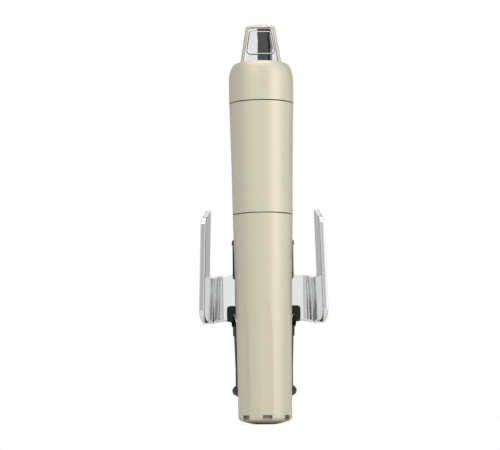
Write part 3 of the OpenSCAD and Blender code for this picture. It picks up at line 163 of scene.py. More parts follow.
half = TABLE_HALF
flat_sheet("studio_table", [(-half, -half, 0), (half, -half, 0), (half, half, 0), (-half, half, 0)],
           table_finish())
hanging_card("trigger_card", [(-16, -160), (60, -160), (60, 160), (-16, 160)], 0.1)
hanging_card("trigger_dark_card", [(50, -160), (69, -160), (69, 20), (58, 30)], 0.012)
hanging_card("trigger_grey_card", [(69, -160), (92, -160), (80, 40), (69, 40)], 0.27)
for name, stand_x in (("left", -STAND_APART), ("middle", 0), ("right", STAND_APART)):
    outline = [(camera_x + stand_x + x, -CAMERA_DISTANCE - STAND_BEHIND, z) for x, z in STAND_OUTLINE]
    card("lens_stand_" + name, outline, STAND_SHADE)
upright_card("back_wall", (1700, 1000), (-1700, 1000), -300, 1600, 0.52)
upright_card("left_wall", (-1100, 900), (-1100, -500), -300, 1600, 0.62)
upright_card("left_front_card", (-860, -900), (-520, -1180), -200, 900, 0.55)
upright_card("right_front_card", (407, -913), (552, -834), -200, 700, 0.62)

# ---------------------------------------------------------------------------
# Light. The studio air is an even soft white, which the camera sees as plain
# white, and three soft boxes stand at the right, at the left and above.
# ---------------------------------------------------------------------------
LAMPS_AIM = (0, 15, 120)
world = bpy.data.worlds.new("studio_air")
bpy.context.scene.world = world
world.use_nodes = True
air = world.node_tree
air.nodes.clear()
soft = shader_node(air, "Background", Color=(1.0, 0.995, 0.985, 1), Strength=0.95)
plain = shader_node(air, "Background", Color=(1, 1, 1, 1), Strength=1.0)
rays = shader_node(air, "LightPath").outputs
seen_air = shader_node(air, "Math", rays["Is Camera Ray"], rays["Is Transmission Ray"])
seen_air.operation = "MAXIMUM"
shader_node(air, "OutputWorld", shader_node(air, "MixShader", seen_air, soft, plain))


def softbox(name, place, size, power, colour=(1, 1, 1)):
    data = bpy.data.lights.new(name, "AREA")
    data.shape = "RECTANGLE"
    data.size, data.size_y = size[0] * MM, size[1] * MM
    data.energy = power
    data.color = colour
    obj = put(name, data)
    obj.location = Vector(place) * MM
    obj.rotation_euler = (Vector(LAMPS_AIM) - Vector(place)).to_track_quat("-Z", "Y").to_euler()


softbox("key_softbox", (823, -691, 320), (600, 1100), 1.85, (1.0, 0.99, 0.97))
softbox("fill_softbox", (-480, -900, 620), (500, 500), 0.8)
softbox("top_softbox", (0, -100, 1100), (900, 700), 1.6)

# ---------------------------------------------------------------------------
# Capsule cup: a turned aluminium cup with a champagne coat, domed under its
# foot. Seven flats are milled up its side and fade out half way; a vent slot
# is milled through the wall at the foot of each. It screws on by its mouth.
# ---------------------------------------------------------------------------
MOUTH_R, CUP_FOOT_R, FOOT_FLAT_R = 17.75, 15.8, 5.0
DOME_RISE, FOOT_EDGE_R, LIP_R = 2.2, 2.6, 0.3
CUP_WALL, CUP_FLOOR, CUP_WAIST_Z, CUP_CURVE = 1.6, 3.8, 30, 1.6
THREAD_BORE, THREAD_BORE_Z = 15.1, 92
FLUTES, FLUTE_TURN, FLUTE_DEPTH = 7, 5.0, 0.38
FLUTE_FULL, FLUTE_FADE, FLUTE_RUN_OUT = 46.0, 30.0, 1.15
FLUTE_FOOT_ANGLE, FLUTE_LEAST_ANGLE, FLUTE_EDGE_ANGLE = 12.6, 1.5, 0.5
SLOT_W, SLOT_H, SLOT_Z = 5.3, 2.8, 2.5


def box_of(node):
    """Lowest and highest corner of a frame node, in millimetres."""
    return [Vector(corner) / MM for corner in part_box(node)]


def cosine(degrees):
    return math.cos(math.radians(degrees))


def sine(degrees):
    return math.sin(math.radians(degrees))


def evenly(start, end, steps):
    """Values from start to end in equal steps, with both ends."""
    return [start + (end - start) * i / steps for i in range(steps + 1)]


def arc(cx, cy, r, start, end, steps):
    """Points on an arc, with its angles in degrees."""
    return [(cx + r * cosine(a), cy + r * sine(a)) for a in evenly(start, end, steps)]


def skin(rows, capped=True):
    """Body wound from rings of equally many points, with a flat face on each end."""
    n = len(rows[0])
    verts = [p for row in rows for p in row]
    faces = [(a * n + i, a * n + (i + 1) % n, (a + 1) * n + (i + 1) % n, (a + 1) * n + i)
             for a in range(len(rows) - 1) for i in range(n)]
    if capped:
        faces += [tuple(reversed(range(n))), tuple(range(len(verts) - n, len(verts)))]
    return verts, faces


def turned(outline, n=96):
    """Body turned on a lathe from a closed outline of radius and height."""
    turns = [2 * math.pi * i / n for i in range(n)]
    rows = [[(r * math.cos(a), r * math.sin(a), z) for a in turns] for r, z in outline]
    return skin(rows + rows[:1], capped=False)


def merged(*forms):
    """Several forms as one."""
    verts, faces = [], []
    for v, f in forms:
        faces += [tuple(i + len(verts) for i in face) for face in f]
        verts += list(v)
    return verts, faces


def to_mesh(name, form, weld=0.002):
    """Clean mesh in metres of a form in millimetres."""
    mesh = bpy.data.meshes.new(name)
    mesh.from_pydata([Vector(v) * MM for v in form[0]], [], form[1])
    bm = bmesh.new()
    bm.from_mesh(mesh)
    bmesh.ops.remove_doubles(bm, verts=bm.verts, dist=weld * MM)
    bmesh.ops.recalc_face_normals(bm, faces=bm.faces)
    bm.to_mesh(mesh)
    bm.free()
    return mesh


def carved(form, tool, how="DIFFERENCE"):
    """A form with another cut out of it, or added to it."""
    pair = [put("blank", to_mesh("blank", f)) for f in (form, tool)]
    work = pair[0].modifiers.new("work", "BOOLEAN")
    work.operation, work.solver, work.object = how, "EXACT", pair[1]
    seen = pair[0].evaluated_get(bpy.context.evaluated_depsgraph_get())
    done = bpy.data.meshes.new_from_object(seen)
    result = [v.co / MM for v in done.vertices], [tuple(p.vertices) for p in done.polygons]
    for obj in pair:
        mesh = obj.data
        bpy.data.objects.remove(obj)
        bpy.data.meshes.remove(mesh)
    bpy.data.meshes.remove(done)
    return result


def choose(mesh, chosen, sharp):
    """Marks the sharp edges whose place is chosen to be broken, and keeps the others crisp."""
    mesh.set_sharp_from_angle(angle=math.radians(sharp))
    marks = mesh.attributes.new("bevel_weight_edge", "FLOAT", "EDGE")
    for edge in mesh.edges:
        start, end = (mesh.vertices[i].co for i in edge.vertices)
        if edge.use_edge_sharp and chosen((start + end) / 2 / MM):
            marks.data[edge.index].value = 1.0
            edge.use_edge_sharp = False


def piece(name, body, form, finish, replaced=(), edge=0.0, steps=3, sharp=32, weld=0.002, chosen=None):
    """Puts a finished piece on its body, with its edges, or the chosen ones, broken by a small radius."""
    mesh = to_mesh(name, form, weld)
    for face in mesh.polygons:
        face.use_smooth = True
    mesh.materials.append(finish)
    obj = put(name, mesh)
    if edge:
        broken = obj.modifiers.new("broken_edges", "BEVEL")
        broken.width = edge * MM
        broken.segments = steps
        broken.limit_method = "ANGLE"
        broken.angle_limit = math.radians(sharp)
        if chosen:
            choose(mesh, chosen, sharp)
            broken.limit_method = "WEIGHT"
        broken.use_clamp_overlap = False
        broken.miter_outer = "MITER_ARC"
    else:
        mesh.set_sharp_from_angle(angle=math.radians(sharp))
    even = obj.modifiers.new("even_shading", "WEIGHTED_NORMAL")
    even.keep_sharp = True
    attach(obj, body)
    if replaced:
        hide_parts(*replaced)
    return obj


def wandering(tree, patches, gloss, spread, colour, tone, reach):
    """Roughness and colour that wander a little from patch to patch."""
    rough = shader_node(tree, "MapRange", patches, 0.3, 0.7, gloss - spread / 2, gloss + spread / 2)
    shades = shader_node(tree, "ValToRGB", patches)
    dark, light = shades.color_ramp.elements
    dark.position, light.position = reach
    dark.color = [c * (1 - tone) for c in colour] + [1]
    light.color = [min(1, c * (1 + tone)) for c in colour] + [1]
    return {"Roughness": rough, "Base_Color": shades}


def metal(name, colour, gloss, spread=0.06, grain=1800, depth=0.004, stretch=(1, 1, 1), tone=0.04,
          metallic=1.0):
    """Metal or coat with smudges over a fine grain, which can be stretched as a tool leaves it."""
    mat, tree = new_material(name + "_finish")
    mat["slot"] = name
    place = shader_node(tree, "TexCoord").outputs["Object"]
    lay = shader_node(tree, "Mapping", Vector=place, Scale=stretch)
    fine = shader_node(tree, "TexNoise", Vector=lay, Scale=grain, Detail=3.0)
    bump = shader_node(tree, "Bump", Height=fine, Strength=0.5, Distance=depth * MM)
    smudge = shader_node(tree, "TexNoise", Vector=place, Scale=45, Detail=5.0, Distortion=0.6)
    surface = wandering(tree, smudge, gloss, spread, colour, tone, (0.35, 0.65))
    shader = shader_node(tree, "BsdfPrincipled", Metallic=metallic, Normal=bump, **surface)
    shader_node(tree, "OutputMaterial", shader)
    return mat


champagne_coat = metal("champagne_coat", (0.67, 0.63, 0.505), 0.47, spread=0.05, grain=3200,
                       depth=0.0035, tone=0.012, metallic=0.8)
cup_high = box_of("capsule_cup")[1]
edge_z = DOME_RISE + FOOT_EDGE_R * sine(60)
edge_start_r = CUP_FOOT_R - FOOT_EDGE_R / 2


def cup_r(z):
    """Outer radius of the cup, which widens faster towards its mouth."""
    return CUP_FOOT_R + (MOUTH_R - CUP_FOOT_R) * (max(0, z - edge_z) / (cup_high.z - edge_z)) ** CUP_CURVE


def flat_r(z):
    """How far a flute's flat lies from the axis."""
    fade = min(1, max(0, (z - FLUTE_FULL) / FLUTE_FADE))
    return cup_r(z) - FLUTE_DEPTH * (1 - FLUTE_RUN_OUT * fade ** 2)


def cup_ring(r, z, cut):
    """One ring of the cup, cut flat at every flute, with close columns at the flutes' edges."""
    at = FLUTE_FOOT_ANGLE
    if z > edge_z:
        at = max(FLUTE_LEAST_ANGLE, math.degrees(math.acos(min(1, cut / r))))
    near, pitch_angle = FLUTE_EDGE_ANGLE, 360 / FLUTES
    on_flat = sorted([s * at / 7 for s in range(-6, 7)] + [-at - near, -at + near, at - near, at + near])
    away = evenly(at + near, pitch_angle - at - near, 11)[1:-1]
    ring = []
    for flute in range(FLUTES):
        middle = -90 + FLUTE_TURN + flute * pitch_angle
        for off in on_flat + away:
            reach = min(r, cut / cosine(off)) if off in on_flat else r
            ring.append((reach * cosine(middle + off), reach * sine(middle + off), z))
    return ring


lip_z = cup_high.z - LIP_R
dome_k = DOME_RISE / (edge_start_r ** 2 - FOOT_FLAT_R ** 2)
outside = [(r, dome_k * (r * r - FOOT_FLAT_R ** 2)) for r in evenly(FOOT_FLAT_R, edge_start_r, 8)]
outside += arc(CUP_FOOT_R - FOOT_EDGE_R, edge_z, FOOT_EDGE_R, -56, 0, 16)
outside += [(cup_r(z), z) for z in evenly(edge_z, lip_z, 56)[1:]]
outside += arc(cup_r(lip_z) - LIP_R, lip_z, LIP_R, 18, 90, 4)
inside = [(THREAD_BORE + LIP_R, cup_high.z), (THREAD_BORE, lip_z), (THREAD_BORE, THREAD_BORE_Z),
          (CUP_FOOT_R - CUP_WALL, CUP_WAIST_Z), (CUP_FOOT_R - CUP_WALL, CUP_FLOOR)]
cup = skin([cup_ring(r, z, flat_r(z)) for r, z in outside] + [cup_ring(r, z, 2 * r) for r, z in inside])


def block(x0, x1, y0, y1, z0, z1):
    """Six-sided block between two corners."""
    return skin([[(x0, y0, z), (x1, y0, z), (x1, y1, z), (x0, y1, z)] for z in (z0, z1)])


def spun(form, angle):
    """A form turned about Z by so many degrees."""
    c, s = cosine(angle), sine(angle)
    return [(x * c - y * s, x * s + y * c, z) for x, y, z in form[0]], form[1]


slot_cut = block(CUP_FOOT_R - 2 * CUP_WALL, CUP_FOOT_R + 2, -SLOT_W / 2, SLOT_W / 2, SLOT_Z, SLOT_Z + SLOT_H)
slot_cuts = [spun(slot_cut, -90 + FLUTE_TURN + i * 360 / FLUTES) for i in range(FLUTES)]
piece("capsule_cup_body", "cup", carved(cup, merged(*slot_cuts)), champagne_coat, ["capsule_cup"], edge=0.12,
      steps=2, sharp=38)


def helix(r, section, length, turns, z0=0.0, per_turn=40):
    """Ridge or wire of a given section, wound round Z from z0 upwards and thinned at its ends."""
    count = round(turns * per_turn)
    rows = []
    for i in range(count + 1):
        a = 2 * math.pi * turns * i / count
        swell = min(1, 0.02 + min(i, count - i) / (per_turn / 8))
        rows.append([((r + u * swell) * math.cos(a), (r + u * swell) * math.sin(a),
                      z0 + length * i / count + v * swell) for u, v in section])
    return skin(rows)


PITCH, THREAD_TURNS, THREAD_DEPTH, THREAD_BELOW_MOUTH = 3.0, 4.5, 1.15, 3.75
ridge = [(0.3, -0.6), (0.3, 0.6), (-THREAD_DEPTH, 0.33), (-THREAD_DEPTH, -0.33)]
thread_z = cup_high.z - THREAD_BELOW_MOUTH - PITCH * THREAD_TURNS
cup_thread = spun(helix(THREAD_BORE, ridge, PITCH * THREAD_TURNS, THREAD_TURNS, thread_z), 180)
piece("capsule_cup_thread", "cup", cup_thread, champagne_coat)

# ---------------------------------------------------------------------------
# What the cup holds: a grey moulded liner that shows through the vent slots, a
# rubber pad under the capsule, and the steel gas capsule itself.
# ---------------------------------------------------------------------------
CAPSULE_R, CAPSULE_WALL, CAPSULE_FOOT_R, CAPSULE_DIMPLE = 11.0, 1.8, 3, 0.8
CAPSULE_NECK_R, CAPSULE_NECK_L, CAPSULE_BORE_R = 4.5, 10.0, 1.5
CAPSULE_SHOULDER_L, NECK_EDGE = 12.0, 0.4
DIMPLE_R, DIMPLE_RIM_R, CAPSULE_END_T, INNER_FOOT_H, INNER_EASE = 4, 6, 2.6, 4, 0.8


def plastic(name, colour, gloss, grain=1500, depth=0.01, sheen=0.0):
    """Moulded plastic or rubber with a fine spark-eroded grain and a few dull patches."""
    mat, tree = new_material(name + "_finish")
    mat["slot"] = name
    place = shader_node(tree, "TexCoord").outputs["Object"]
    grains = shader_node(tree, "TexVoronoi", Vector=place, Scale=grain)
    soften = shader_node(tree, "TexNoise", Vector=place, Scale=grain * 1.7)
    both = shader_node(tree, "Math", grains, soften)
    both.operation = "MULTIPLY"
    bump = shader_node(tree, "Bump", Height=both, Strength=0.6, Distance=depth * MM)
    patches = shader_node(tree, "TexNoise", Vector=place, Scale=70, Detail=6.0)
    surface = wandering(tree, patches, gloss, 0.08, colour, 0.1, (0.3, 0.7))
    shader = shader_node(tree, "BsdfPrincipled", Specular_IOR_Level=0.3, Sheen_Weight=sheen, Normal=bump,
                         **surface)
    shader_node(tree, "OutputMaterial", shader)
    return mat


def dress(finish, *names):
    """Gives its finish to a piece that keeps the shape it has in the frame."""
    for name in names:
        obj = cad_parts[name]
        for place in obj.material_slots:
            place.material = finish


grey_liner = plastic("grey_liner", (0.19, 0.20, 0.205), 0.38)
black_rubber = plastic("black_rubber", (0.012, 0.012, 0.012), 0.62, grain=2600, depth=0.006, sheen=0.15)
capsule_steel = metal("capsule_steel", (0.60, 0.61, 0.62), 0.24, grain=900, depth=0.002, stretch=(1, 1, 12))
dress(grey_liner, "cup_liner")
dress(black_rubber, "capsule_pad")

capsule_low, capsule_high = box_of("gas_capsule")
foot_z, top_z = capsule_low.z, capsule_high.z
shoulder_z = top_z - CAPSULE_NECK_L
wall_z = shoulder_z - CAPSULE_SHOULDER_L
bore_r = CAPSULE_R - CAPSULE_WALL
shoulder = [(CAPSULE_R + (CAPSULE_NECK_R - CAPSULE_R) * t * t * (3 - 2 * t), wall_z + CAPSULE_SHOULDER_L * t)
            for t in evenly(0, 1, 14)]
capsule = turned(
    [(0, foot_z + CAPSULE_DIMPLE), (DIMPLE_R, foot_z + CAPSULE_DIMPLE), (DIMPLE_RIM_R, foot_z)]
    + arc(CAPSULE_R - CAPSULE_FOOT_R, foot_z + CAPSULE_FOOT_R, CAPSULE_FOOT_R, -90, 0, 8) + shoulder
    + [(CAPSULE_NECK_R, top_z - NECK_EDGE), (CAPSULE_NECK_R - NECK_EDGE, top_z), (CAPSULE_BORE_R, top_z),
       (CAPSULE_BORE_R, shoulder_z - INNER_EASE), (bore_r, wall_z + INNER_EASE),
       (bore_r, foot_z + INNER_FOOT_H), (0, foot_z + CAPSULE_END_T)], 72)
piece("gas_capsule_body", "capsule", capsule, capsule_steel, ["gas_capsule"])

# ---------------------------------------------------------------------------
# Handle sleeve: a drawn tube with the same coat, which widens a little from
# the cup to the head. A narrow boss down its front carries the rail.
# ---------------------------------------------------------------------------
HEAD_R, SLEEVE_WALL, SLEEVE_STEP, SLEEVE_CURVE = 19.1, 1.6, 0.1, 1.4
BOSS_HALF_W, BOSS_RISE = 5.0, 8.0
sleeve_low, sleeve_high = box_of("handle_sleeve")
rail_low, rail_high = box_of("rail")
sleeve_bore = MOUTH_R - SLEEVE_WALL


def sleeve_r(t):
    """Outer radius of the sleeve, a share t of the way up."""
    return MOUTH_R + (HEAD_R - SLEEVE_STEP - MOUTH_R) * t ** SLEEVE_CURVE


low_lip, high_lip = sleeve_low.z + LIP_R, sleeve_high.z - LIP_R
sleeve = turned(
    [(sleeve_bore, sleeve_low.z)] + arc(sleeve_r(0) - LIP_R, low_lip, LIP_R, -90, -18, 4)
    + [(sleeve_r(t), low_lip + (high_lip - low_lip) * t) for t in evenly(0, 1, 24)]
    + arc(sleeve_r(1) - LIP_R, high_lip, LIP_R, 18, 90, 4) + [(sleeve_bore, sleeve_high.z)], 128)
boss = block(-BOSS_HALF_W, BOSS_HALF_W, sleeve_bore + 0.3, rail_low.y, cup_high.z + BOSS_RISE, rail_high.z)
piece("handle_sleeve_tube", "root", sleeve, champagne_coat, ["handle_sleeve"])
piece("handle_sleeve_boss", "root", boss, champagne_coat, edge=0.4)

# ---------------------------------------------------------------------------
# Regulator in the sleeve: a turned aluminium body and bonnet, a brass piston
# on a steel spring, a lance that pierces the capsule, and rubber ring seals.
# ---------------------------------------------------------------------------
PISTON_STROKE, SPRING_WIRE_R, SPRING_TURNS = 1.1, 1, 6.5
bare_aluminium = metal("bare_aluminium", (0.72, 0.73, 0.74), 0.28, grain=1400, depth=0.003, stretch=(1, 1, 6))
brass = metal("brass", (0.78, 0.57, 0.25), 0.22, grain=1200, depth=0.003, stretch=(1, 1, 8), tone=0.05)
screw_steel = metal("screw_steel", (0.56, 0.57, 0.58), 0.25, grain=2600, depth=0.003)
spring_steel = metal("spring_steel", (0.55, 0.56, 0.58), 0.22, grain=2200, depth=0.002)
needle_steel = metal("needle_steel", (0.66, 0.67, 0.69), 0.16, spread=0.05, grain=3000, depth=0.001)
white_acetal = plastic("white_acetal", (0.80, 0.80, 0.77), 0.38, grain=2000, depth=0.004)
dress(bare_aluminium, "regulator_body", "bonnet", "manifold")
dress(brass, "regulator_piston", "inlet_filter")
dress(needle_steel, "piercing_lance", "spool_gland", "valve_spool")
dress(white_acetal, "piston_seat", "needle_washer")
dress(black_rubber, "bonnet_seal", "outlet_seal", "capsule_seal", "spigot_seal", "piston_seals",
      "spool_seals")
dress(screw_steel, "manifold_screws")


def coil(r, wire_r, length, turns):
    """Spring of round wire along Z."""
    return helix(r, arc(0, 0, wire_r, 0, 324, 9), length - 2 * wire_r, turns, wire_r, per_turn=36)


def aimed(form, origin, direction=(0, 0, 1)):
    """A form drawn along Z, set at a point and aimed along a direction."""
    turn = Vector(direction).to_track_quat("Z", "Y").to_matrix()
    return [turn @ Vector(v) + Vector(origin) for v in form[0]], form[1]


def centre(node):
    low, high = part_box(node)
    return (Vector(low) + Vector(high)) / 2 / MM


def size(node):
    low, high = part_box(node)
    return (Vector(high) - Vector(low)) / MM


spring_size = size("regulator_spring")
spring_foot = centre("regulator_spring") - Vector((0, 0, spring_size.z / 2))
regulator_coil = coil(spring_size.x / 2 - SPRING_WIRE_R, SPRING_WIRE_R, spring_size.z, SPRING_TURNS)
regulator_coil = aimed(regulator_coil, (0, 0, spring_foot.z))
regulator_spring = piece("regulator_spring_coil", "root", regulator_coil, spring_steel, ["regulator_spring"])
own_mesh(regulator_spring)

# ---------------------------------------------------------------------------
# Rail: an anodised T-section extrusion that hangs from the boss on three
# socket screws, sunk into its face. A fourth screw stops the clamp below.
# ---------------------------------------------------------------------------
WEB_HALF_W, WEB_T = 5.0, 1.6
RAIL_SCREW_R, RAIL_SCREW_HEAD_R, RAIL_SCREW_HEAD_H, SCREW_SINK = 1.5, 3.0, 1.6, 1.9
STOP_R, STOP_HEAD_R, STOP_HEAD_H = 1.15, 2.4, 1.1
black_anodised = metal("black_anodised", (0.035, 0.035, 0.038), 0.34, grain=1600, depth=0.004,
                       stretch=(6, 6, 0.4), tone=0.08)
rail_front, flange_y = rail_high.y, rail_low.y + WEB_T


def drawn(outline, z0, z1):
    """Body of one section all along Z."""
    return skin([[(x, y, z) for x, y in outline] for z in (z0, z1)])


def post(x, y, z0, z1, r, n=48):
    """Round post or drill along Z."""
    return drawn(arc(x, y, r, 0, 360 - 360 / n, n - 1), z0, z1)


def copies(form, places, direction=(0, 1, 0)):
    """A form drawn along Z, repeated at several places and aimed along one direction."""
    return merged(*[aimed(form, place, direction) for place in places])


rail = drawn([(-WEB_HALF_W, rail_low.y), (WEB_HALF_W, rail_low.y), (WEB_HALF_W, flange_y),
              (rail_high.x, flange_y), (rail_high.x, rail_front), (rail_low.x, rail_front),
              (rail_low.x, flange_y), (-WEB_HALF_W, flange_y)], rail_low.z, rail_high.z)
screws_low, screws_high = box_of("rail_screws")
first_screw, last_screw = screws_low.z + RAIL_SCREW_HEAD_R, screws_high.z - RAIL_SCREW_HEAD_R
sunk = [(0, rail_front - SCREW_SINK, z) for z in evenly(first_screw, last_screw, 2)]
sinks = copies(post(0, 0, 0, SCREW_SINK + 1, RAIL_SCREW_HEAD_R + 0.12), sunk)
piece("rail_bar", "root", carved(rail, sinks), black_anodised, ["rail"], edge=0.3)


def socket_screw(r, length, head_r, head_h):
    """Pan-head screw along Z with a hexagon socket, its head's underside at the origin."""
    def ring(radius, z, six=False):
        row = []
        for a in range(0, 360, 10):
            reach = radius / cosine((a + 30) % 60 - 30) if six else radius
            row.append((reach * cosine(a), reach * sine(a), z))
        return row

    brow = 0.3 * head_h
    rows = [ring(0.7 * r, -length), ring(r, -length + 0.3 * r), ring(r, 0), ring(head_r - 0.1, 0),
            ring(head_r, 0.1)]
    rows += [ring(x, z) for x, z in arc(head_r - brow, head_h - brow, brow, 0, 90, 5)]
    rows += [ring(0.52 * head_r, head_h, True), ring(0.46 * head_r, head_h - 0.06 * head_r, True),
             ring(0.46 * head_r, 0.4 * head_h, True), ring(0.1 * head_r, 0.3 * head_h)]
    return skin(rows)


rail_screw = socket_screw(RAIL_SCREW_R, rail_front - SCREW_SINK - screws_low.y, RAIL_SCREW_HEAD_R,
                          RAIL_SCREW_HEAD_H)
piece("rail_screw_set", "root", copies(rail_screw, sunk), screw_steel, ["rail_screws"])
end_stop = socket_screw(STOP_R, rail_front - rail_low.y, STOP_HEAD_R, STOP_HEAD_H)
piece("rail_end_stop_screw", "root", aimed(end_stop, (0, rail_front, centre("rail_end_stop").z), (0, 1, 0)),
      screw_steel, ["rail_end_stop"])

# ---------------------------------------------------------------------------
# Clamp carriage: a black glass-filled nylon block and spine that slide on the
# rail, with a hollow column round the needle and two cross bars whose ears
# hold the hinge pins. All of it is one moulding.
# ---------------------------------------------------------------------------
RUN_GAP = 0.3
BLOCK_HALF_W, BLOCK_R, BLOCK_FOOT_Z = 18.3, 4.0, 87.8
SPINE_HALF_W, SPINE_R = 12.5, 1.0
CAP_SPLIT, CAP_GAP = 107.3, 0.4
COLUMN_R, COLUMN_BORE, COLUMN_WEB_HALF_W = 8.5, 3.02, 5.0
LUG_T, EAR_UP, EAR_OUT, EAR_R, EAR_FOOT_R = 3.0, 3.6, 2.6, 2, 1.2
PIN_X, PIN_R, PIN_SKIN = 19.4, 1.3, 0.8
black_nylon = plastic("black_nylon", (0.009, 0.009, 0.010), 0.5, grain=1900, depth=0.008)
frame_low, frame_high = box_of("carriage_frame")
cap_low, cap_high = box_of("carriage_cap")
pad_low, pad_high = box_of("foot_pad")
bush_low, bush_high = box_of("guide_bush")
carriage_back, carriage_front = cap_low.y, cap_high.y
carriage_mid = (carriage_back + carriage_front) / 2
frame_foot, column_top = pad_high.z, bush_high.z - 1
needle_y, pin_at = centre("needle").y, centre("hinge_pins")
ear_x, ear_top = PIN_X + EAR_OUT, pin_at.z + EAR_UP
flange_way, web_way = rail_high.x + RUN_GAP, WEB_HALF_W + RUN_GAP
way_back, way_front = flange_y - RUN_GAP, rail_front + RUN_GAP


def rail_way(y0):
    """Plan of the T-slot that runs on the rail, open at y0."""
    right = [(flange_way, way_front), (flange_way, way_back), (web_way, way_back), (web_way, y0)]
    return [(-x, y) for x, y in reversed(right)] + right


def rounded(half_w, r):
    """Plan of a carriage block with rounded corners."""
    y0, y1, x = carriage_back + r, carriage_front - r, half_w - r
    return (arc(x, y0, r, -90, 0, 8) + arc(x, y1, r, 0, 90, 8) + arc(-x, y1, r, 90, 180, 8)
            + arc(-x, y0, r, 180, 270, 8))


def slotted(half_w, r):
    return rounded(half_w, r) + rail_way(carriage_back)


def stood(outline, y0, y1):
    """Plate drawn in X and Z, between two places along Y."""
    return skin([[(x, y, z) for x, z in outline] for y in (y1, y0)])


def lug(y):
    """Cross bar with an ear at each end, cut back under its middle, drilled for the pins."""
    foot, inner = frame_low.z, PIN_X - 1.2
    low_x, low_z = ear_x - EAR_FOOT_R, foot + EAR_FOOT_R
    top_x, top_z = ear_x - EAR_R, ear_top - EAR_R
    outline = (arc(low_x, low_z, EAR_FOOT_R, -90, 0, 6) + arc(top_x, top_z, EAR_R, 0, 90, 8)
               + arc(-top_x, top_z, EAR_R, 90, 180, 8) + arc(-low_x, low_z, EAR_FOOT_R, 180, 270, 6)
               + [(-inner, foot), (-inner, frame_foot + 1), (inner, frame_foot + 1), (inner, foot)])
    drill = post(0, 0, 0, LUG_T + 2, PIN_R + 0.15, 32)
    tools = copies(drill, [(x, y + PIN_SKIN, pin_at.z) for x in (-PIN_X, PIN_X)])
    if y < rail_front:
        tools = merged(tools, drawn(rail_way(y - 3), foot - 2, ear_top + 2))
    return carved(stood(outline, y, y + LUG_T), tools)


column_web = block(-COLUMN_WEB_HALF_W, COLUMN_WEB_HALF_W, carriage_front - 1, needle_y - 3, frame_foot + 0.02,
                   column_top - 1.5)
column = carved(post(0, needle_y, frame_foot, column_top, COLUMN_R, 72), column_web, "UNION")
column = carved(column, post(0, needle_y, frame_foot - 2, column_top + 2, COLUMN_BORE, 48))
piece("carriage_block", "carriage", drawn(slotted(BLOCK_HALF_W, BLOCK_R), BLOCK_FOOT_Z, CAP_SPLIT - CAP_GAP),
      black_nylon, ["carriage_frame"], edge=0.5)
piece("carriage_spine", "carriage", drawn(slotted(SPINE_HALF_W, SPINE_R), frame_foot, BLOCK_FOOT_Z + 1),
      black_nylon, edge=0.4)
piece("carriage_column", "carriage", column, black_nylon, edge=0.5)
for name, y in (("back", carriage_back), ("front", frame_high.y - LUG_T)):
    piece("carriage_lug_" + name, "carriage", lug(y), black_nylon, edge=0.4)

# ---------------------------------------------------------------------------
# Carriage cap: a black nylon lid with rolled edges over the block's end, held
# down by two steel socket screws in wells.
# ---------------------------------------------------------------------------
CAP_EDGE, CAP_OVER, CAP_FLANK_SHARE = 2.2, 0.4, 0.3
CAP_SCREW_X, CAP_SCREW_SINK, CAP_WELL_R = 13.5, 1.6, 2.2
SMALL_SCREW_R, CAP_SCREW_L, CAP_SCREW_HEAD_R = 1.1, 10, 2.1


def cap_row(inset, z):
    """Plan of the cap at one height; its front and back are rounded less than its ends."""
    half, deep = BLOCK_HALF_W + CAP_OVER, (carriage_front - carriage_back) / 2
    narrow, thin = (half - inset) / half, (deep - CAP_FLANK_SHARE * inset) / deep
    outer = [(x * narrow, carriage_mid + (y - carriage_mid) * thin) for x, y in rounded(half, BLOCK_R)]
    return [(x, y, z) for x, y in outer + rail_way(outer[0][1])]


roll_z = cap_high.z - CAP_EDGE
cap = skin([cap_row(0, CAP_SPLIT), cap_row(0, roll_z)]
           + [cap_row(CAP_EDGE * (1 - cosine(a)), roll_z + CAP_EDGE * sine(a)) for a in range(10, 91, 10)])
cap_places = [(x, carriage_mid, cap_high.z - CAP_SCREW_SINK) for x in (-CAP_SCREW_X, CAP_SCREW_X)]
wells = copies(post(0, 0, 0, CAP_SCREW_SINK + 2, CAP_WELL_R), cap_places, (0, 0, 1))
piece("carriage_cap_shell", "carriage", carved(cap, wells), black_nylon, ["carriage_cap"], edge=0.25, steps=2)
cap_screw = socket_screw(SMALL_SCREW_R, CAP_SCREW_L, CAP_SCREW_HEAD_R, CAP_SCREW_SINK - 0.2)
piece("cap_screw_pair", "carriage", copies(cap_screw, cap_places, (0, 0, 1)), screw_steel, ["cap_screws"])

# ---------------------------------------------------------------------------
# What the carriage holds: a rubber disc that rests on the bottle's lip, an
# acetal bush round the needle, a brake pad on the rail, and steel hinge pins
# with a spring on each to close the arms.
# ---------------------------------------------------------------------------
FOOT_PAD_R, FOOT_PAD_EDGE, FOOT_PAD_TOP_EDGE = 13.0, 0.8, 0.3
BUSH_R, BUSH_BORE, BUSH_EDGE = 3.0, 0.87, 0.25
ARM_WIRE_R, ARM_SPRING_PLAY, ARM_SPRING_TURNS = 0.35, 0.4, 3.5
pad_edge, pad_bore = FOOT_PAD_EDGE, BUSH_R + 0.03
foot_pad = turned(
    [(pad_bore, pad_low.z)] + arc(FOOT_PAD_R - pad_edge, pad_low.z + pad_edge, pad_edge, -90, 0, 6)
    + arc(FOOT_PAD_R - FOOT_PAD_TOP_EDGE, pad_high.z - FOOT_PAD_TOP_EDGE, FOOT_PAD_TOP_EDGE, 0, 90, 3)
    + [(pad_bore, pad_high.z)], 96)
piece("foot_pad_disc", "carriage", aimed(foot_pad, (0, needle_y, 0)), black_rubber, ["foot_pad"])
bush = turned([(BUSH_BORE, bush_low.z + 0.4), (1.3, bush_low.z), (BUSH_R, bush_low.z),
               (BUSH_R, bush_high.z - BUSH_EDGE), (BUSH_R - BUSH_EDGE, bush_high.z), (1.5, bush_high.z),
               (BUSH_BORE, bush_high.z - 0.5)], 48)
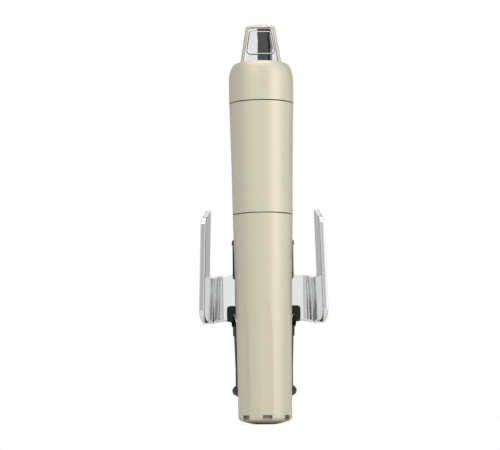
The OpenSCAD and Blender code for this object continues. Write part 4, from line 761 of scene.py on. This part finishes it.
piece("guide_bush_tube", "carriage", aimed(bush, (0, needle_y, 0)), white_acetal, ["guide_bush"])
dress(white_acetal, "brake_pad")


def pin(r, low, high, edge=0.25):
    """Steel pin along Z with its ends broken."""
    half = [(0, low), (r - edge, low), (r, low + edge), (r, high - edge), (r - edge, high), (0, high)]
    return turned(half, 32)


hinge_pin = pin(PIN_R, 0, size("hinge_pins").y - PIN_SKIN)
hinge_pins = copies(hinge_pin, [(x, carriage_back + PIN_SKIN, pin_at.z) for x in (-PIN_X, PIN_X)])
piece("hinge_pin_pair", "carriage", hinge_pins, needle_steel, ["hinge_pins"])
for side, x in (("left", -PIN_X), ("right", PIN_X)):
    spring_y, spring_l = centre(side + "_arm_spring").y, size(side + "_arm_spring").y
    arm_coil = coil(PIN_R + ARM_SPRING_PLAY + ARM_WIRE_R, ARM_WIRE_R, spring_l, ARM_SPRING_TURNS)
    arm_coil = aimed(arm_coil, (x, spring_y - spring_l / 2, pin_at.z), (0, 1, 0))
    piece(side + "_arm_spring_coil", "carriage", arm_coil, spring_steel, [side + "_arm_spring"])

# ---------------------------------------------------------------------------
# Clamp levers, one on each side: a die-cast, chromed cross bar that turns up
# square to its paddle in a narrow crease, and the paddle itself, a plate with
# a rounded foot and a slimmer upper end for the thumb.
# ---------------------------------------------------------------------------
BAR_T, BAR_H, BAR_DROP, BAR_RISE, BAR_BEHIND_NEEDLE, BAR_PAST_PIN = 4.0, 28.0, 4, 1.7, 2.5, 3
BAR_EDGE, END_EDGE, END_FOOT_R, END_TOP_R = 1.2, 0.6, 1.6, 2.4
CREASE_X, SQUARE_L, TURN_L = 30.4, 5.0, 4.6
GROOVE_W, GROOVE_D = 0.35, 3.2
TOE, PADDLE_LEAN, PADDLE_SLOPE = 14.5, 1.6, 4.4
PADDLE_T, PADDLE_D, PADDLE_H = 3.4, 20.6, 67.4
PADDLE_DROP, PADDLE_EDGE, PADDLE_FOOT_EDGE = 1.3, 0.7, 1.55
PADDLE_FOOT_R, PADDLE_TOP_R, PADDLE_TIP_R = 9, 5, 1
UPPER_D, LEDGE_DROP, LEDGE_R = 11.6, 0.5, 2.0
chrome_plate = metal("chrome_plate", (0.80, 0.81, 0.82), 0.022, spread=0.016, grain=260, depth=0.0006,
                     tone=0.015)
bar_front = needle_y - BAR_BEHIND_NEEDLE
bar_back = bar_front - BAR_T
bar_z0 = frame_foot - BAR_DROP
bar_z1 = bar_z0 + BAR_H
bar_inner = PIN_X - BAR_PAST_PIN
turn_back = math.tan(math.radians(TOE))


def bar_face(x):
    """Where the bar's back lies: square to the paddle by the crease, then turning flat."""
    along = CREASE_X - x
    t = min(1, max(0, (along - SQUARE_L) / TURN_L))
    groove = GROOVE_D if along < GROOVE_W else 0
    end = max(0, END_EDGE - (x - bar_inner))
    round_off = END_EDGE - math.sqrt(END_EDGE ** 2 - end ** 2)
    return bar_back - turn_back * (min(along, SQUARE_L) + TURN_L * (t - t * t / 2)) + groove + round_off


def bar_section(x):
    """Section of the bar at x, with rounded corners and with its inner end rounded off."""
    rise = BAR_RISE * min(1, (CREASE_X - x) / (CREASE_X - bar_inner - END_TOP_R))
    foot_cut, top_cut = (r - math.sqrt(r * r - max(0, r - (x - bar_inner)) ** 2)
                         for r in (END_FOOT_R, END_TOP_R))
    low, top = bar_z0 + rise + foot_cut, bar_z1 + rise - top_cut
    back, front = bar_face(x), bar_front - (0.4 if x - bar_inner < END_EDGE / 2 else 0)
    e = min(BAR_EDGE, (front - back) / 2.1)
    return [(x, y, z) for y, z in arc(front - e, low + e, e, -90, 0, 6) + arc(front - e, top - e, e, 0, 90, 6)
            + arc(back + e, top - e, e, 90, 180, 8) + arc(back + e, low + e, e, 180, 270, 8)]


bar_places = [CREASE_X + 1.5, CREASE_X - GROOVE_W + 0.02, CREASE_X - GROOVE_W, CREASE_X - SQUARE_L / 2]
bar_places += evenly(CREASE_X - SQUARE_L, CREASE_X - SQUARE_L - TURN_L, 8)
bar_places += [bar_inner + END_TOP_R * (1 - sine(a)) for a in range(0, 90, 10)] + [bar_inner + 0.001]
bar = skin([bar_section(x) for x in bar_places])

inner_u, upper_u = -BAR_T / cosine(TOE), PADDLE_D - UPPER_D
paddle_top, ledge_z = bar_z0 + PADDLE_H, bar_z1 - LEDGE_DROP
paddle_outline = (
    [(inner_u, bar_z0 - 0.4), (0, bar_z0 - 0.4), (PADDLE_D / 4, bar_z0 - 0.8)]
    + arc(PADDLE_D - PADDLE_FOOT_R, bar_z0 - PADDLE_DROP + PADDLE_FOOT_R, PADDLE_FOOT_R, -90, 0, 18)
    + arc(PADDLE_D - PADDLE_TOP_R, paddle_top - PADDLE_SLOPE - PADDLE_TOP_R, PADDLE_TOP_R, 0, 80, 12)
    + arc(upper_u + PADDLE_TIP_R, paddle_top - PADDLE_TIP_R, PADDLE_TIP_R, 100, 180, 6)
    + arc(upper_u - LEDGE_R, ledge_z + LEDGE_R, LEDGE_R, 0, -90, 8) + [(inner_u, ledge_z)])


def leaned(u, across, z):
    """Point of the paddle: u runs back from the crease, across through its thickness."""
    x = u * sine(TOE) + across * cosine(TOE)
    y = -u * cosine(TOE) + across * sine(TOE)
    up = z - bar_z0
    return (CREASE_X + x * cosine(PADDLE_LEAN) - up * sine(PADDLE_LEAN), bar_back + y,
            bar_z0 + x * sine(PADDLE_LEAN) + up * cosine(PADDLE_LEAN))


def paddle_row(turn, outer):
    """One outline of the paddle on its way round the edge, which is rounder along the foot."""
    row = []
    for i, (u, z) in enumerate(paddle_outline):
        foot = min(1, max(0, (bar_z0 + PADDLE_FOOT_R - z) / PADDLE_FOOT_R)) ** 2
        e = PADDLE_EDGE + (PADDLE_FOOT_EDGE - PADDLE_EDGE) * foot
        before = Vector(paddle_outline[i]) - Vector(paddle_outline[i - 1])
        after = Vector(paddle_outline[(i + 1) % len(paddle_outline)]) - Vector(paddle_outline[i])
        n1, n2 = (Vector((-d.y, d.x)).normalized() for d in (before, after))
        push = (n1 + n2) / (1 + n1.dot(n2)) * e * (1 - sine(turn))
        deep = e * (1 - cosine(turn))
        row.append(leaned(u + push.x, PADDLE_T - deep if outer else deep, z + push.y))
    return row


paddle = skin([paddle_row(turn, False) for turn in range(0, 91, 15)]
              + [paddle_row(turn, True) for turn in range(90, -1, -15)])

# ---------------------------------------------------------------------------
# Clamp jaws: a black nylon leg curved round the bottle's neck, on a shelf, a
# knuckle on the hinge pin and a plate that two screws hold to the lever. A
# ribbed rubber pad lines the leg where it grips.
# ---------------------------------------------------------------------------
NECK_R, RELIEF_R, JAW_HALF_ANGLE = 14.0, 16.4, 38
GRIP_T, GRIP_H, GRIP_RISE, GRIP_EDGE = 1.3, 17.0, 2.5, 0.25
GRIP_RIBS, RIB_D = 12, 0.28
LEG_T, LEG_TOP_T, LEG_BULGE_R = 2.1, 2.4, 3.0
SHELF_DROP, SHELF_T, PLATE_T = 3, 2.6, 2.6
SMALL_HEAD_R, SMALL_HEAD_H = 2.0, 1.2
leg_z, mouth_z = box_of("right_jaw")[0].z, pad_low.z
grip_seat_r, grip_z = NECK_R + GRIP_T, leg_z + GRIP_RISE
grip_top, shelf_z = grip_z + GRIP_H, mouth_z - SHELF_DROP
leg_low_r, leg_top_r = grip_seat_r + LEG_T, RELIEF_R + LEG_TOP_T
leg_section = ([(grip_seat_r, leg_z + 1.2), (grip_seat_r + 0.35, leg_z + 0.4), (grip_seat_r + 0.8, leg_z)]
               + arc(leg_low_r - 0.9, leg_z + 3.7, LEG_BULGE_R, -78, 42, 14)
               + [(leg_low_r + 0.9, leg_z + 6.4), (leg_low_r, leg_z + 6.6), (leg_low_r, leg_z + 11),
                  (leg_low_r, leg_z + GRIP_H), (leg_top_r - 0.75, mouth_z - 9.2),
                  (leg_top_r - 0.1, mouth_z - 8.4), (leg_top_r, mouth_z - 1), (RELIEF_R, mouth_z - 1),
                  (RELIEF_R, grip_top + 2), (grip_seat_r, grip_top)])


def swept(section, half_angle, steps):
    """Section of radius and height swept round the needle's axis, equally to both sides."""
    return skin([[(r * cosine(a), needle_y + r * sine(a), z) for r, z in section]
                 for a in evenly(-half_angle, half_angle, steps)])


leg = swept(leg_section, JAW_HALF_ANGLE, 40)
knuckle_y = carriage_back + LUG_T + RUN_GAP + size("right_arm_spring").y + RUN_GAP
shelf = block(NECK_R + 1.4, PIN_X, knuckle_y, frame_high.y - LUG_T - RUN_GAP, shelf_z, shelf_z + SHELF_T)
shelf = carved(shelf, post(0, needle_y, shelf_z - 2, shelf_z + 6, grip_seat_r, 128))
knuckle = stood([(PIN_X - 2, shelf_z), (PIN_X - 0.6, shelf_z), (PIN_X + 0.4, bar_z0 + 0.8),
                 (ear_x, bar_z0 + 0.8)]
                + arc(ear_x - EAR_R, ear_top - EAR_R, EAR_R, 0, 90, 6) + [(PIN_X - 2, ear_top)],
                knuckle_y, bar_back)
knuckle = carved(knuckle, bar)
jaw_plate = stood([(PIN_X - 2.4, shelf_z), (PIN_X - 0.6, shelf_z), (PIN_X + 0.4, bar_z0 + 1.2),
                   (CREASE_X - 2, bar_z0 + 1.2), (CREASE_X - 2, pin_at.z + 1.5), (PIN_X + 5, pin_at.z + 12.5),
                   (PIN_X - 2.4, pin_at.z + 12.5)], bar_front, bar_front + PLATE_T)
rib_pitch = GRIP_H / GRIP_RIBS
grip_section = [(NECK_R, grip_z + GRIP_EDGE), (NECK_R + GRIP_EDGE, grip_z), (grip_seat_r - 0.02, grip_z),
                (grip_seat_r - 0.02, grip_top), (NECK_R + GRIP_EDGE, grip_top)]
for i in range(GRIP_RIBS - 1):
    rib_top = grip_top - GRIP_EDGE - i * rib_pitch
    grip_section += [(NECK_R + deep, rib_top - rib_pitch * down)
                     for deep, down in ((0, 0), (0, 0.6), (RIB_D, 0.7), (RIB_D, 0.9))]
grip = swept(grip_section, JAW_HALF_ANGLE - 2, 36)
jaw_screws = copies(socket_screw(SMALL_SCREW_R, PLATE_T + 2.6, SMALL_HEAD_R, SMALL_HEAD_H),
                    [(x, bar_front + PLATE_T, z) for x, z in ((PIN_X + 1.4, pin_at.z + 9.6),
                                                              (PIN_X + 6.6, pin_at.z - 1))])


def sided(form, side):
    """A form drawn on the right, or its mirror image on the left."""
    if side == "right":
        return form
    return [(-v[0], v[1], v[2]) for v in form[0]], [tuple(reversed(f)) for f in form[1]]


for side in ("left", "right"):
    arm = side + "_arm"
    piece(side + "_lever_bar", arm, sided(bar, side), chrome_plate, [side + "_lever"], sharp=50)
    piece(side + "_lever_paddle", arm, sided(paddle, side), chrome_plate, sharp=50)
    piece(side + "_jaw_leg", arm, sided(leg, side), black_nylon, [side + "_jaw"], edge=0.35)
    piece(side + "_jaw_shelf", arm, sided(shelf, side), black_nylon, edge=0.3)
    piece(side + "_jaw_knuckle", arm, sided(knuckle, side), black_nylon, edge=0.35)
    piece(side + "_jaw_plate", arm, sided(jaw_plate, side), black_nylon, edge=0.4)
    piece(side + "_grip_lining", arm, sided(grip, side), black_rubber, [side + "_grip_pad"])
    piece(side + "_jaw_screw_pair", arm, sided(jaw_screws, side), screw_steel, [side + "_jaw_screws"])

# ---------------------------------------------------------------------------
# Needle: a drawn steel tube with a closed point and a hole in its side, held
# by a knurled aluminium hub that screws up into the valve block.
# ---------------------------------------------------------------------------
NEEDLE_R, NEEDLE_TIP_L, NEEDLE_PLUG_L = 0.75, 3.0, 4
SIDE_HOLE_R, SIDE_HOLE_UP = 0.38, 4.75
HUB_R, HUB_H, HUB_NOSE_H, HUB_EDGE, SHANK_R = 5.8, 14.0, 4.0, 0.8, 3.9
KNURLS, KNURL_D, KNURL_MARGIN, KNURL_COLUMNS = 20, 0.62, 2.2, 12
hub_low, hub_high = box_of("needle_hub")
hub_z = hub_low.z + HUB_NOSE_H
hub_top, hub_bore = hub_z + HUB_H, NEEDLE_R + 0.05


def hub_ring(r, z, cut=0):
    """One ring of the hub; a cut ring dips into a V at every knurl."""
    ring = []
    for i in range(KNURLS * KNURL_COLUMNS):
        off = (i % KNURL_COLUMNS - KNURL_COLUMNS / 2) / KNURL_COLUMNS * 360 / KNURLS
        reach = r - cut * max(0, 1 - abs(off) / 6.0)
        a = i * 360 / KNURLS / KNURL_COLUMNS
        ring.append((reach * cosine(a), needle_y + reach * sine(a), z))
    return ring


hub = skin([hub_ring(*row) for row in (
    (hub_bore, hub_low.z), (1.6, hub_low.z), (2.9, hub_z - 0.3), (3.3, hub_z), (HUB_R - HUB_EDGE, hub_z),
    (HUB_R, hub_z + HUB_EDGE), (HUB_R, hub_z + KNURL_MARGIN - 0.4), (HUB_R, hub_z + KNURL_MARGIN, KNURL_D),
    (HUB_R, hub_top - KNURL_MARGIN, KNURL_D), (HUB_R, hub_top - KNURL_MARGIN + 0.4), (HUB_R, hub_top - 0.3),
    (HUB_R - 0.3, hub_top), (SHANK_R, hub_top), (SHANK_R, hub_high.z), (hub_bore, hub_high.z))])
piece("needle_hub_knob", "root", hub, bare_aluminium, ["needle_hub"])
needle_low, needle_high = box_of("needle")
needle_bore, plug_z = NEEDLE_R * 0.55, needle_low.z + NEEDLE_PLUG_L
needle = turned([(0, needle_low.z), (NEEDLE_R * 0.3, needle_low.z + 0.5),
                 (NEEDLE_R, needle_low.z + NEEDLE_TIP_L), (NEEDLE_R, needle_high.z),
                 (needle_bore, needle_high.z), (needle_bore, plug_z), (0, plug_z)], 32)
side_hole = aimed(post(0, 0, 0, 2, SIDE_HOLE_R, 20), (0, 0, needle_low.z + SIDE_HOLE_UP), (0, 1, 0))
piece("needle_tube", "root", aimed(carved(needle, side_hole), (0, needle_y, 0)), needle_steel, ["needle"])

# ---------------------------------------------------------------------------
# Head cover: one die-cast, champagne-coated shell over the head, the nose
# above the needle, and the hood that leans forward round the trigger. The
# hood's back is open, with a narrow bright rim left round the trigger.
# ---------------------------------------------------------------------------
DECK_Z, SHOULDER_W, SHOULDER_H = 213.0, 4.6, 10.5
NOSE_R, NOSE_TOP, NOSE_SHOULDER_W, NOSE_SHOULDER_H = 11.5, 207.5, 0.8, 0.7
HEAD_WALL = 1.7
HOOD_W, HOOD_TOP_W, HOOD_LEAN = 24.2, 18.0, 11.5
HOOD_BACK, HOOD_FRONT, HOOD_TOP_FRONT = 9.5, 21.5, 5.0
HOOD_EDGE_R, HOOD_ROOT, HOOD_DOME = 2.8, 6.0, 0.5
RIM_W, TRIGGER_GAP, TRIGGER_RECESS = 1.8, 0.16, 0.3
BLADE_CORNER_R, PUNCH = 1.6, 5
SPOUT_ANGLE, SPOUT_R, SPOUT_Y, SPOUT_UP = 38.0, 4.3, 5.0, 3
head_top, sleeve_top = box_of("head_cover")[1].z, sleeve_high.z
hood_h = head_top - DECK_Z
lean_c, lean_s = cosine(HOOD_LEAN), sine(HOOD_LEAN)


def shoulder_at(r, top, w, h, phi):
    """Radius and height where a rounded shoulder faces upwards by phi."""
    c, s = cosine(phi), sine(phi)
    stretch = math.sqrt((w * c) ** 2 + (h * s) ** 2)
    return r - w + w * w * c / stretch, top - h + h * h * s / stretch


def head_form(inset, foot):
    """The smooth form stretched over the round head and the round nose."""
    rows = []
    for k in range(-1, 19):
        phi = max(0, k) * 5
        ra, za = shoulder_at(HEAD_R - inset, DECK_Z - inset, SHOULDER_W, SHOULDER_H, phi)
        rb, zb = shoulder_at(NOSE_R - inset, NOSE_TOP - inset, SHOULDER_W * NOSE_SHOULDER_W,
                             SHOULDER_H * NOSE_SHOULDER_H, phi)
        if k < 0:
            za = zb = foot
        turn = ((ra - rb) * cosine(phi) + (za - zb) * sine(phi)) / (needle_y * max(1e-6, cosine(phi)))
        meet = 90 if turn >= 1 else math.degrees(math.asin(turn))
        r, y, z = (ra, 0, za) if turn >= 1 else (rb, needle_y, zb)
        rows.append([(ra * cosine(t), ra * sine(t), za) for t in evenly(180 - meet, 360 + meet, 95)]
                    + [(r * cosine(t), y + r * sine(t), z) for t in evenly(meet, 180 - meet, 39)])
    return skin(rows)


def hull(points):
    """Tight skin over a cloud of points."""
    bm = bmesh.new()
    for p in points:
        bm.verts.new(p)
    bmesh.ops.convex_hull(bm, input=bm.verts)
    bmesh.ops.delete(bm, geom=[v for v in bm.verts if not v.link_faces], context="VERTS")
    bmesh.ops.dissolve_limit(bm, angle_limit=math.radians(0.5), verts=bm.verts, edges=bm.edges)
    bm.verts.index_update()
    form = [v.co.copy() for v in bm.verts], [tuple(v.index for v in f.verts) for f in bm.faces]
    bm.free()
    return form


def hood(inset):
    """The hood, from below the deck to its rounded and slightly domed top."""
    r = HOOD_EDGE_R
    foot_half, top_half = HOOD_W / 2 - inset - r, HOOD_TOP_W / 2 - inset - r
    top = head_top - inset - r
    back = -HOOD_BACK + inset + r
    top_back = back + math.tan(math.radians(HOOD_LEAN)) * (top - DECK_Z)
    cloud = []
    for side in (-1, 1):
        for x, y in ((side * foot_half, back), (side * (foot_half - 1), HOOD_FRONT - inset - r)):
            cloud += [(px, py, z) for px, py in arc(x, y, r, 0, 350, 35)
                      for z in (DECK_Z - HOOD_ROOT, DECK_Z)]
        for t in evenly(0, 1, 4):
            for y in (top_back, HOOD_TOP_FRONT - inset - r):
                cloud += [(px, py, top - HOOD_DOME * t * t + r * sine(up)) for up in range(-20, 91, 10)
                          for px, py in arc(side * top_half * t, y, r * cosine(up), 0, 350, 35)]
    return hull(cloud)


def on_lean(x, depth, up):
    """Point of the hood's leaning back, by its depth below the face and its height up it."""
    return (x, -HOOD_BACK + depth * lean_c + up * lean_s, DECK_Z - depth * lean_s + up * lean_c)


def blade_half(up, gap=0.0):
    """Half the width of the trigger's blade, which narrows as the hood does."""
    return (HOOD_W + (HOOD_TOP_W - HOOD_W) * up / hood_h) / 2 - RIM_W - TRIGGER_GAP + gap


blade_top = hood_h / lean_c - RIM_W - TRIGGER_GAP - 0.4


def trigger_punch(low, depth0, depth1):
    """What is cut out of the hood for the trigger's blade, with a gap round it."""
    r, top, half = BLADE_CORNER_R + TRIGGER_GAP, blade_top + TRIGGER_GAP, blade_half(blade_top, TRIGGER_GAP)
    low_half = blade_half(low, TRIGGER_GAP)
    outline = ([(-low_half, low), (low_half, low)] + arc(half - r, top - r, r, 8, 90, 12)
               + arc(-half + r, top - r, r, 90, 172, 12))
    return skin([[on_lean(x, depth, up) for x, up in outline] for depth in (depth1, depth0)])


spout_at = Vector((0, SPOUT_Y, DECK_Z + SPOUT_UP))
spout_way = Vector((0, cosine(SPOUT_ANGLE), sine(SPOUT_ANGLE)))
front_slope = (HOOD_FRONT - HOOD_TOP_FRONT) / hood_h
spout_exit = (HOOD_FRONT - SPOUT_Y - SPOUT_UP * front_slope) / (spout_way.y + spout_way.z * front_slope)
spout_hole = aimed(post(0, 0, spout_exit - PUNCH, spout_exit + PUNCH, SPOUT_R + 0.1, 64), spout_at, spout_way)
shell = carved(head_form(0, sleeve_top + 0.5), hood(0), "UNION")
hollow = carved(head_form(HEAD_WALL, sleeve_top - 2), hood(HEAD_WALL), "UNION")
for tool in (hollow, trigger_punch(0, -PUNCH, PUNCH),
             trigger_punch(-PUNCH, TRIGGER_RECESS - TRIGGER_GAP, PUNCH), spout_hole):
    shell = carved(shell, tool)


def open_edge(p):
    """Whether a point lies on the shell's foot or round the trigger's opening."""
    back, rise = p.y + HOOD_BACK, p.z - DECK_Z
    depth, up = back * lean_c - rise * lean_s, back * lean_s + rise * lean_c
    by_trigger = abs(p.x) < blade_half(up) + 1.2 and -0.1 < depth < HEAD_WALL + 0.4 and up > 0.4
    return by_trigger or p.z < sleeve_top + 0.6


piece("head_cover_shell", "root", shell, champagne_coat, ["head_cover"], edge=0.25, sharp=40, weld=0.02,
      chosen=open_edge)

# ---------------------------------------------------------------------------
# Under the nose: a black nylon plate that closes the head from below, held by
# two small screws beside the needle's hub.
# ---------------------------------------------------------------------------
PLATE_STEP, HUB_HOLE_R, UNDER_SCREW_L = 0.1, 7.5, 6
plate_low, plate_high = box_of("head_underplate")
tilt = math.degrees(math.asin((HEAD_R - NOSE_R) / needle_y))
corner_x = (HEAD_R - PLATE_STEP - plate_low.y * sine(tilt)) / cosine(tilt)
nose_arc = arc(0, needle_y, NOSE_R - PLATE_STEP, tilt, 180 - tilt, 40)
underplate = drawn([(-corner_x, plate_low.y), (corner_x, plate_low.y)] + nose_arc, plate_low.z, plate_high.z)
underplate = carved(underplate, post(0, needle_y, plate_low.z - 1, plate_high.z + 1, HUB_HOLE_R, 64))
piece("head_underplate_plate", "root", underplate, black_nylon, ["head_underplate"], edge=0.35)
under_low, under_high = box_of("underplate_screws")
under_y = (under_low.y + under_high.y) / 2
under_places = [(x, under_y, plate_low.z) for x in (under_low.x + SMALL_HEAD_R, under_high.x - SMALL_HEAD_R)]
under_screw = socket_screw(SMALL_SCREW_R, UNDER_SCREW_L, SMALL_HEAD_R, SMALL_HEAD_H)
piece("underplate_screw_pair", "root", copies(under_screw, under_places, (0, 0, -1)), screw_steel,
      ["underplate_screws"])

# ---------------------------------------------------------------------------
# Trigger: a chromed lever on a steel pin inside the head. Its blade fills the
# hood's open back and carries a slightly raised pad, ringed by a thin black
# rubber band of painted shade that stands for the dark reflection along the
# pad's edge; its nose presses the valve's stem.
# ---------------------------------------------------------------------------
TRIGGER_T, BLADE_DROP, BLADE_CROWN, BLADE_EDGE_R = 3.0, 3.6, 0.3, 0.5
STEM_HALF_W, STEM_T, STEM_H, KNUCKLE_R = 5.7, 4.8, 9.8, 3.0
HEEL_HALF_W, HEEL_R, HEEL_Y = 2.5, 2.5, -6.6
TRIGGER_PIN_R, TRIGGER_PIN_HALF_L = 1.25, 8
pin_centre = centre("trigger_pin")


def crown(x):
    """How far the blade's crowned face has fallen away beside its middle."""
    return BLADE_CROWN * (x / blade_half(0)) ** 2


def blade_section(up, half, shrink=0.0):
    """Section across the blade: a crowned face, rounded edges and a flat back."""
    half, r = max(0.4, half), BLADE_EDGE_R
    front, back = TRIGGER_RECESS + shrink, TRIGGER_RECESS + TRIGGER_T - shrink
    face = [(x, front + crown(x)) for x in evenly(-half + r, half - r, 24)]
    edge = face[-1][1]
    flank = [(half - r + r * sine(a), edge + r - r * cosine(a)) for a in (30, 60, 90)]
    flank += arc(half - r, back - r, r, 0, 90, 3)
    return [on_lean(x, depth, up) for x, depth in face + flank + [(-x, d) for x, d in reversed(flank)]]


corner_z = blade_top - BLADE_CORNER_R
blade_rows = [blade_section(0.2 * i - BLADE_DROP, blade_half(-BLADE_DROP), 0.3 - 0.15 * i) for i in range(2)]
blade_rows += [blade_section(up, blade_half(up)) for up in (0.5 - BLADE_DROP, 0, 5, 10, 15, corner_z)]
for a in evenly(0, 90, 8)[1:]:
    rise, narrower = BLADE_CORNER_R * sine(a), BLADE_CORNER_R * (1 - cosine(a))
    blade_rows.append(blade_section(corner_z + rise, blade_half(corner_z) - narrower,
                                    max(0, rise - BLADE_CORNER_R + 0.3)))
stem = merged(
    block(-STEM_HALF_W, STEM_HALF_W, pin_centre.y - STEM_T / 2, pin_centre.y + STEM_T / 2, pin_centre.z,
          pin_centre.z + STEM_H),
    aimed(post(0, 0, -STEM_HALF_W, STEM_HALF_W, KNUCKLE_R), pin_centre, (1, 0, 0)),
    aimed(post(0, 0, -HEEL_HALF_W, HEEL_HALF_W, HEEL_R), (0, HEEL_Y, DECK_Z), (1, 0, 0)))
piece("trigger_blade", "trigger", skin(blade_rows), chrome_plate, ["trigger_lever"])
piece("trigger_stem", "trigger", stem, chrome_plate, edge=0.3)

PAD_W, PAD_TOP_W, PAD_H, PAD_Z, PAD_PROUD = 16.0, 13.0, 14.5, 4.9, 0.5
PAD_LOW_R, PAD_TOP_R = 2.6, 1.8


def pad_ring(grow, height, shrink=1.0):
    """Outline of the pad, grown outwards and raised above the blade's crowned face."""
    r0, r1 = PAD_LOW_R + grow, PAD_TOP_R + grow
    x0, x1 = PAD_W / 2 - PAD_LOW_R, PAD_TOP_W / 2 - PAD_TOP_R
    z0, z1 = PAD_Z + PAD_LOW_R, PAD_Z + PAD_H - PAD_TOP_R
    outline = (arc(x0, z0, r0, -90, 5, 12) + arc(x1, z1, r1, 5, 90, 12)
               + [(x, z1 + r1) for x in evenly(x1, -x1, 14)[1:-1]]
               + arc(-x1, z1, r1, 90, 175, 12) + arc(-x0, z0, r0, 175, 270, 12)
               + [(x, z0 - r0) for x in evenly(-x0, x0, 14)[1:-1]])
    middle = PAD_Z + PAD_H / 2
    return [on_lean(x * shrink, TRIGGER_RECESS + crown(x * shrink) - height, middle + (up - middle) * shrink)
            for x, up in outline]


pad_edge_rows = ((0, -0.3), (0, 0.2), (-0.08, 0.38), (-0.25, 0.47), (-0.5, PAD_PROUD), (-0.56, PAD_PROUD))
pad_face_rows = (0.99, 0.9, 0.75, 0.6, 0.45, 0.3, 0.15, 0.02)
pad = skin([pad_ring(*row) for row in pad_edge_rows] + [pad_ring(-0.56, PAD_PROUD, s) for s in pad_face_rows])
piece("trigger_pad_plate", "trigger", pad, chrome_plate, ["trigger_pad"], sharp=60)
# thin black rubber band round the pad: painted shade that stands for the dark reflection along the pad's
# raised edge
pad_shade_band = [pad_ring(*row) for row in ((-0.1, -0.2), (0.38, -0.2), (0.38, 0.03), (0.26, 0.1), (-0.1, 0.1))]
piece("trigger_pad_painted_shade_band", "trigger", skin(pad_shade_band + pad_shade_band[:1], capped=False), black_rubber)
trigger_pin = aimed(pin(TRIGGER_PIN_R, -TRIGGER_PIN_HALF_L, TRIGGER_PIN_HALF_L), pin_centre, (1, 0, 0))
piece("trigger_pin_rod", "root", trigger_pin, needle_steel, ["trigger_pin"])

# ---------------------------------------------------------------------------
# Spring of the valve: a small coil of steel wire round the spool's tail, which
# gives way as the trigger pushes the spool forward.
# ---------------------------------------------------------------------------
SPOOL_STROKE, SPOOL_COIL_R, SPOOL_WIRE_R, SPOOL_TURNS = 1.7, 1.7, 0.28, 4
spool_at, spool_l = centre("spool_spring"), size("spool_spring").y
half_spool = Vector((0, spool_l / 2, 0))
spool_coil = aimed(coil(SPOOL_COIL_R, SPOOL_WIRE_R, spool_l, SPOOL_TURNS), spool_at - half_spool, (0, 1, 0))
spool_spring = piece("spool_spring_coil", "root", spool_coil, spring_steel, ["spool_spring"])
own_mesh(spool_spring)

# ---------------------------------------------------------------------------
# Spout: a short polished steel tube with a slanted mouth, pushed into the
# valve block through the hood's front and closed there by a rubber ring.
# ---------------------------------------------------------------------------
SPOUT_L, SPOUT_WALL, SPOUT_BEVEL, SPOUT_ROOT, SPOUT_LAND, SPOUT_STEP = 15.5, 1.0, 28.0, 5.6, 1.6, 0.25
SEAL_EDGE_R, SEAL_BROW_R = 0.25, 0.4


def spout_ring(r, t, slant=False):
    """One ring of the spout; a slanted one is cut back over half of its round."""
    ring = []
    for i in range(72):
        a = 2 * math.pi * i / 72
        x, y = r * math.cos(a), r * math.sin(a)
        ring.append((x, y, t - (max(0, y) * math.tan(math.radians(SPOUT_BEVEL)) if slant else 0)))
    return ring


spout_end, land, stepped = spout_exit + SPOUT_L, spout_exit + SPOUT_LAND, SPOUT_R - SPOUT_STEP
spout_bore = SPOUT_R - SPOUT_WALL
spout_rows = [spout_ring(r, t) for r, t in (
    (stepped, SPOUT_ROOT), (stepped, land), (SPOUT_R - 0.08, land), (SPOUT_R, land + 0.08))]
spout_rows += [spout_ring(r, spout_end - drop, True) for r, drop in (
    (SPOUT_R, 0.35), (SPOUT_R - 0.12, 0.1), (SPOUT_R - 0.35, 0), (spout_bore + 0.3, 0),
    (spout_bore + 0.08, 0.1), (spout_bore, 0.3))]
spout_rows.append(spout_ring(spout_bore, SPOUT_ROOT))
spout = skin(spout_rows + spout_rows[:1], capped=False)
piece("spout_tube_body", "root", aimed(spout, spout_at, spout_way), needle_steel, ["spout_tube"])
seal_r, seal_foot = stepped + 0.02, spout_exit + RUN_GAP
seal = turned(
    [(seal_r, seal_foot)] + arc(SPOUT_R + 0.75, seal_foot + SEAL_EDGE_R, SEAL_EDGE_R, -90, 0, 3)
    + arc(SPOUT_R + 0.6, seal_foot + 0.5, SEAL_BROW_R, 0, 90, 5) + [(seal_r, seal_foot + 0.9)], 64)
piece("spout_seal_ring", "root", aimed(seal, spout_at, spout_way), black_rubber, ["spout_seal"])
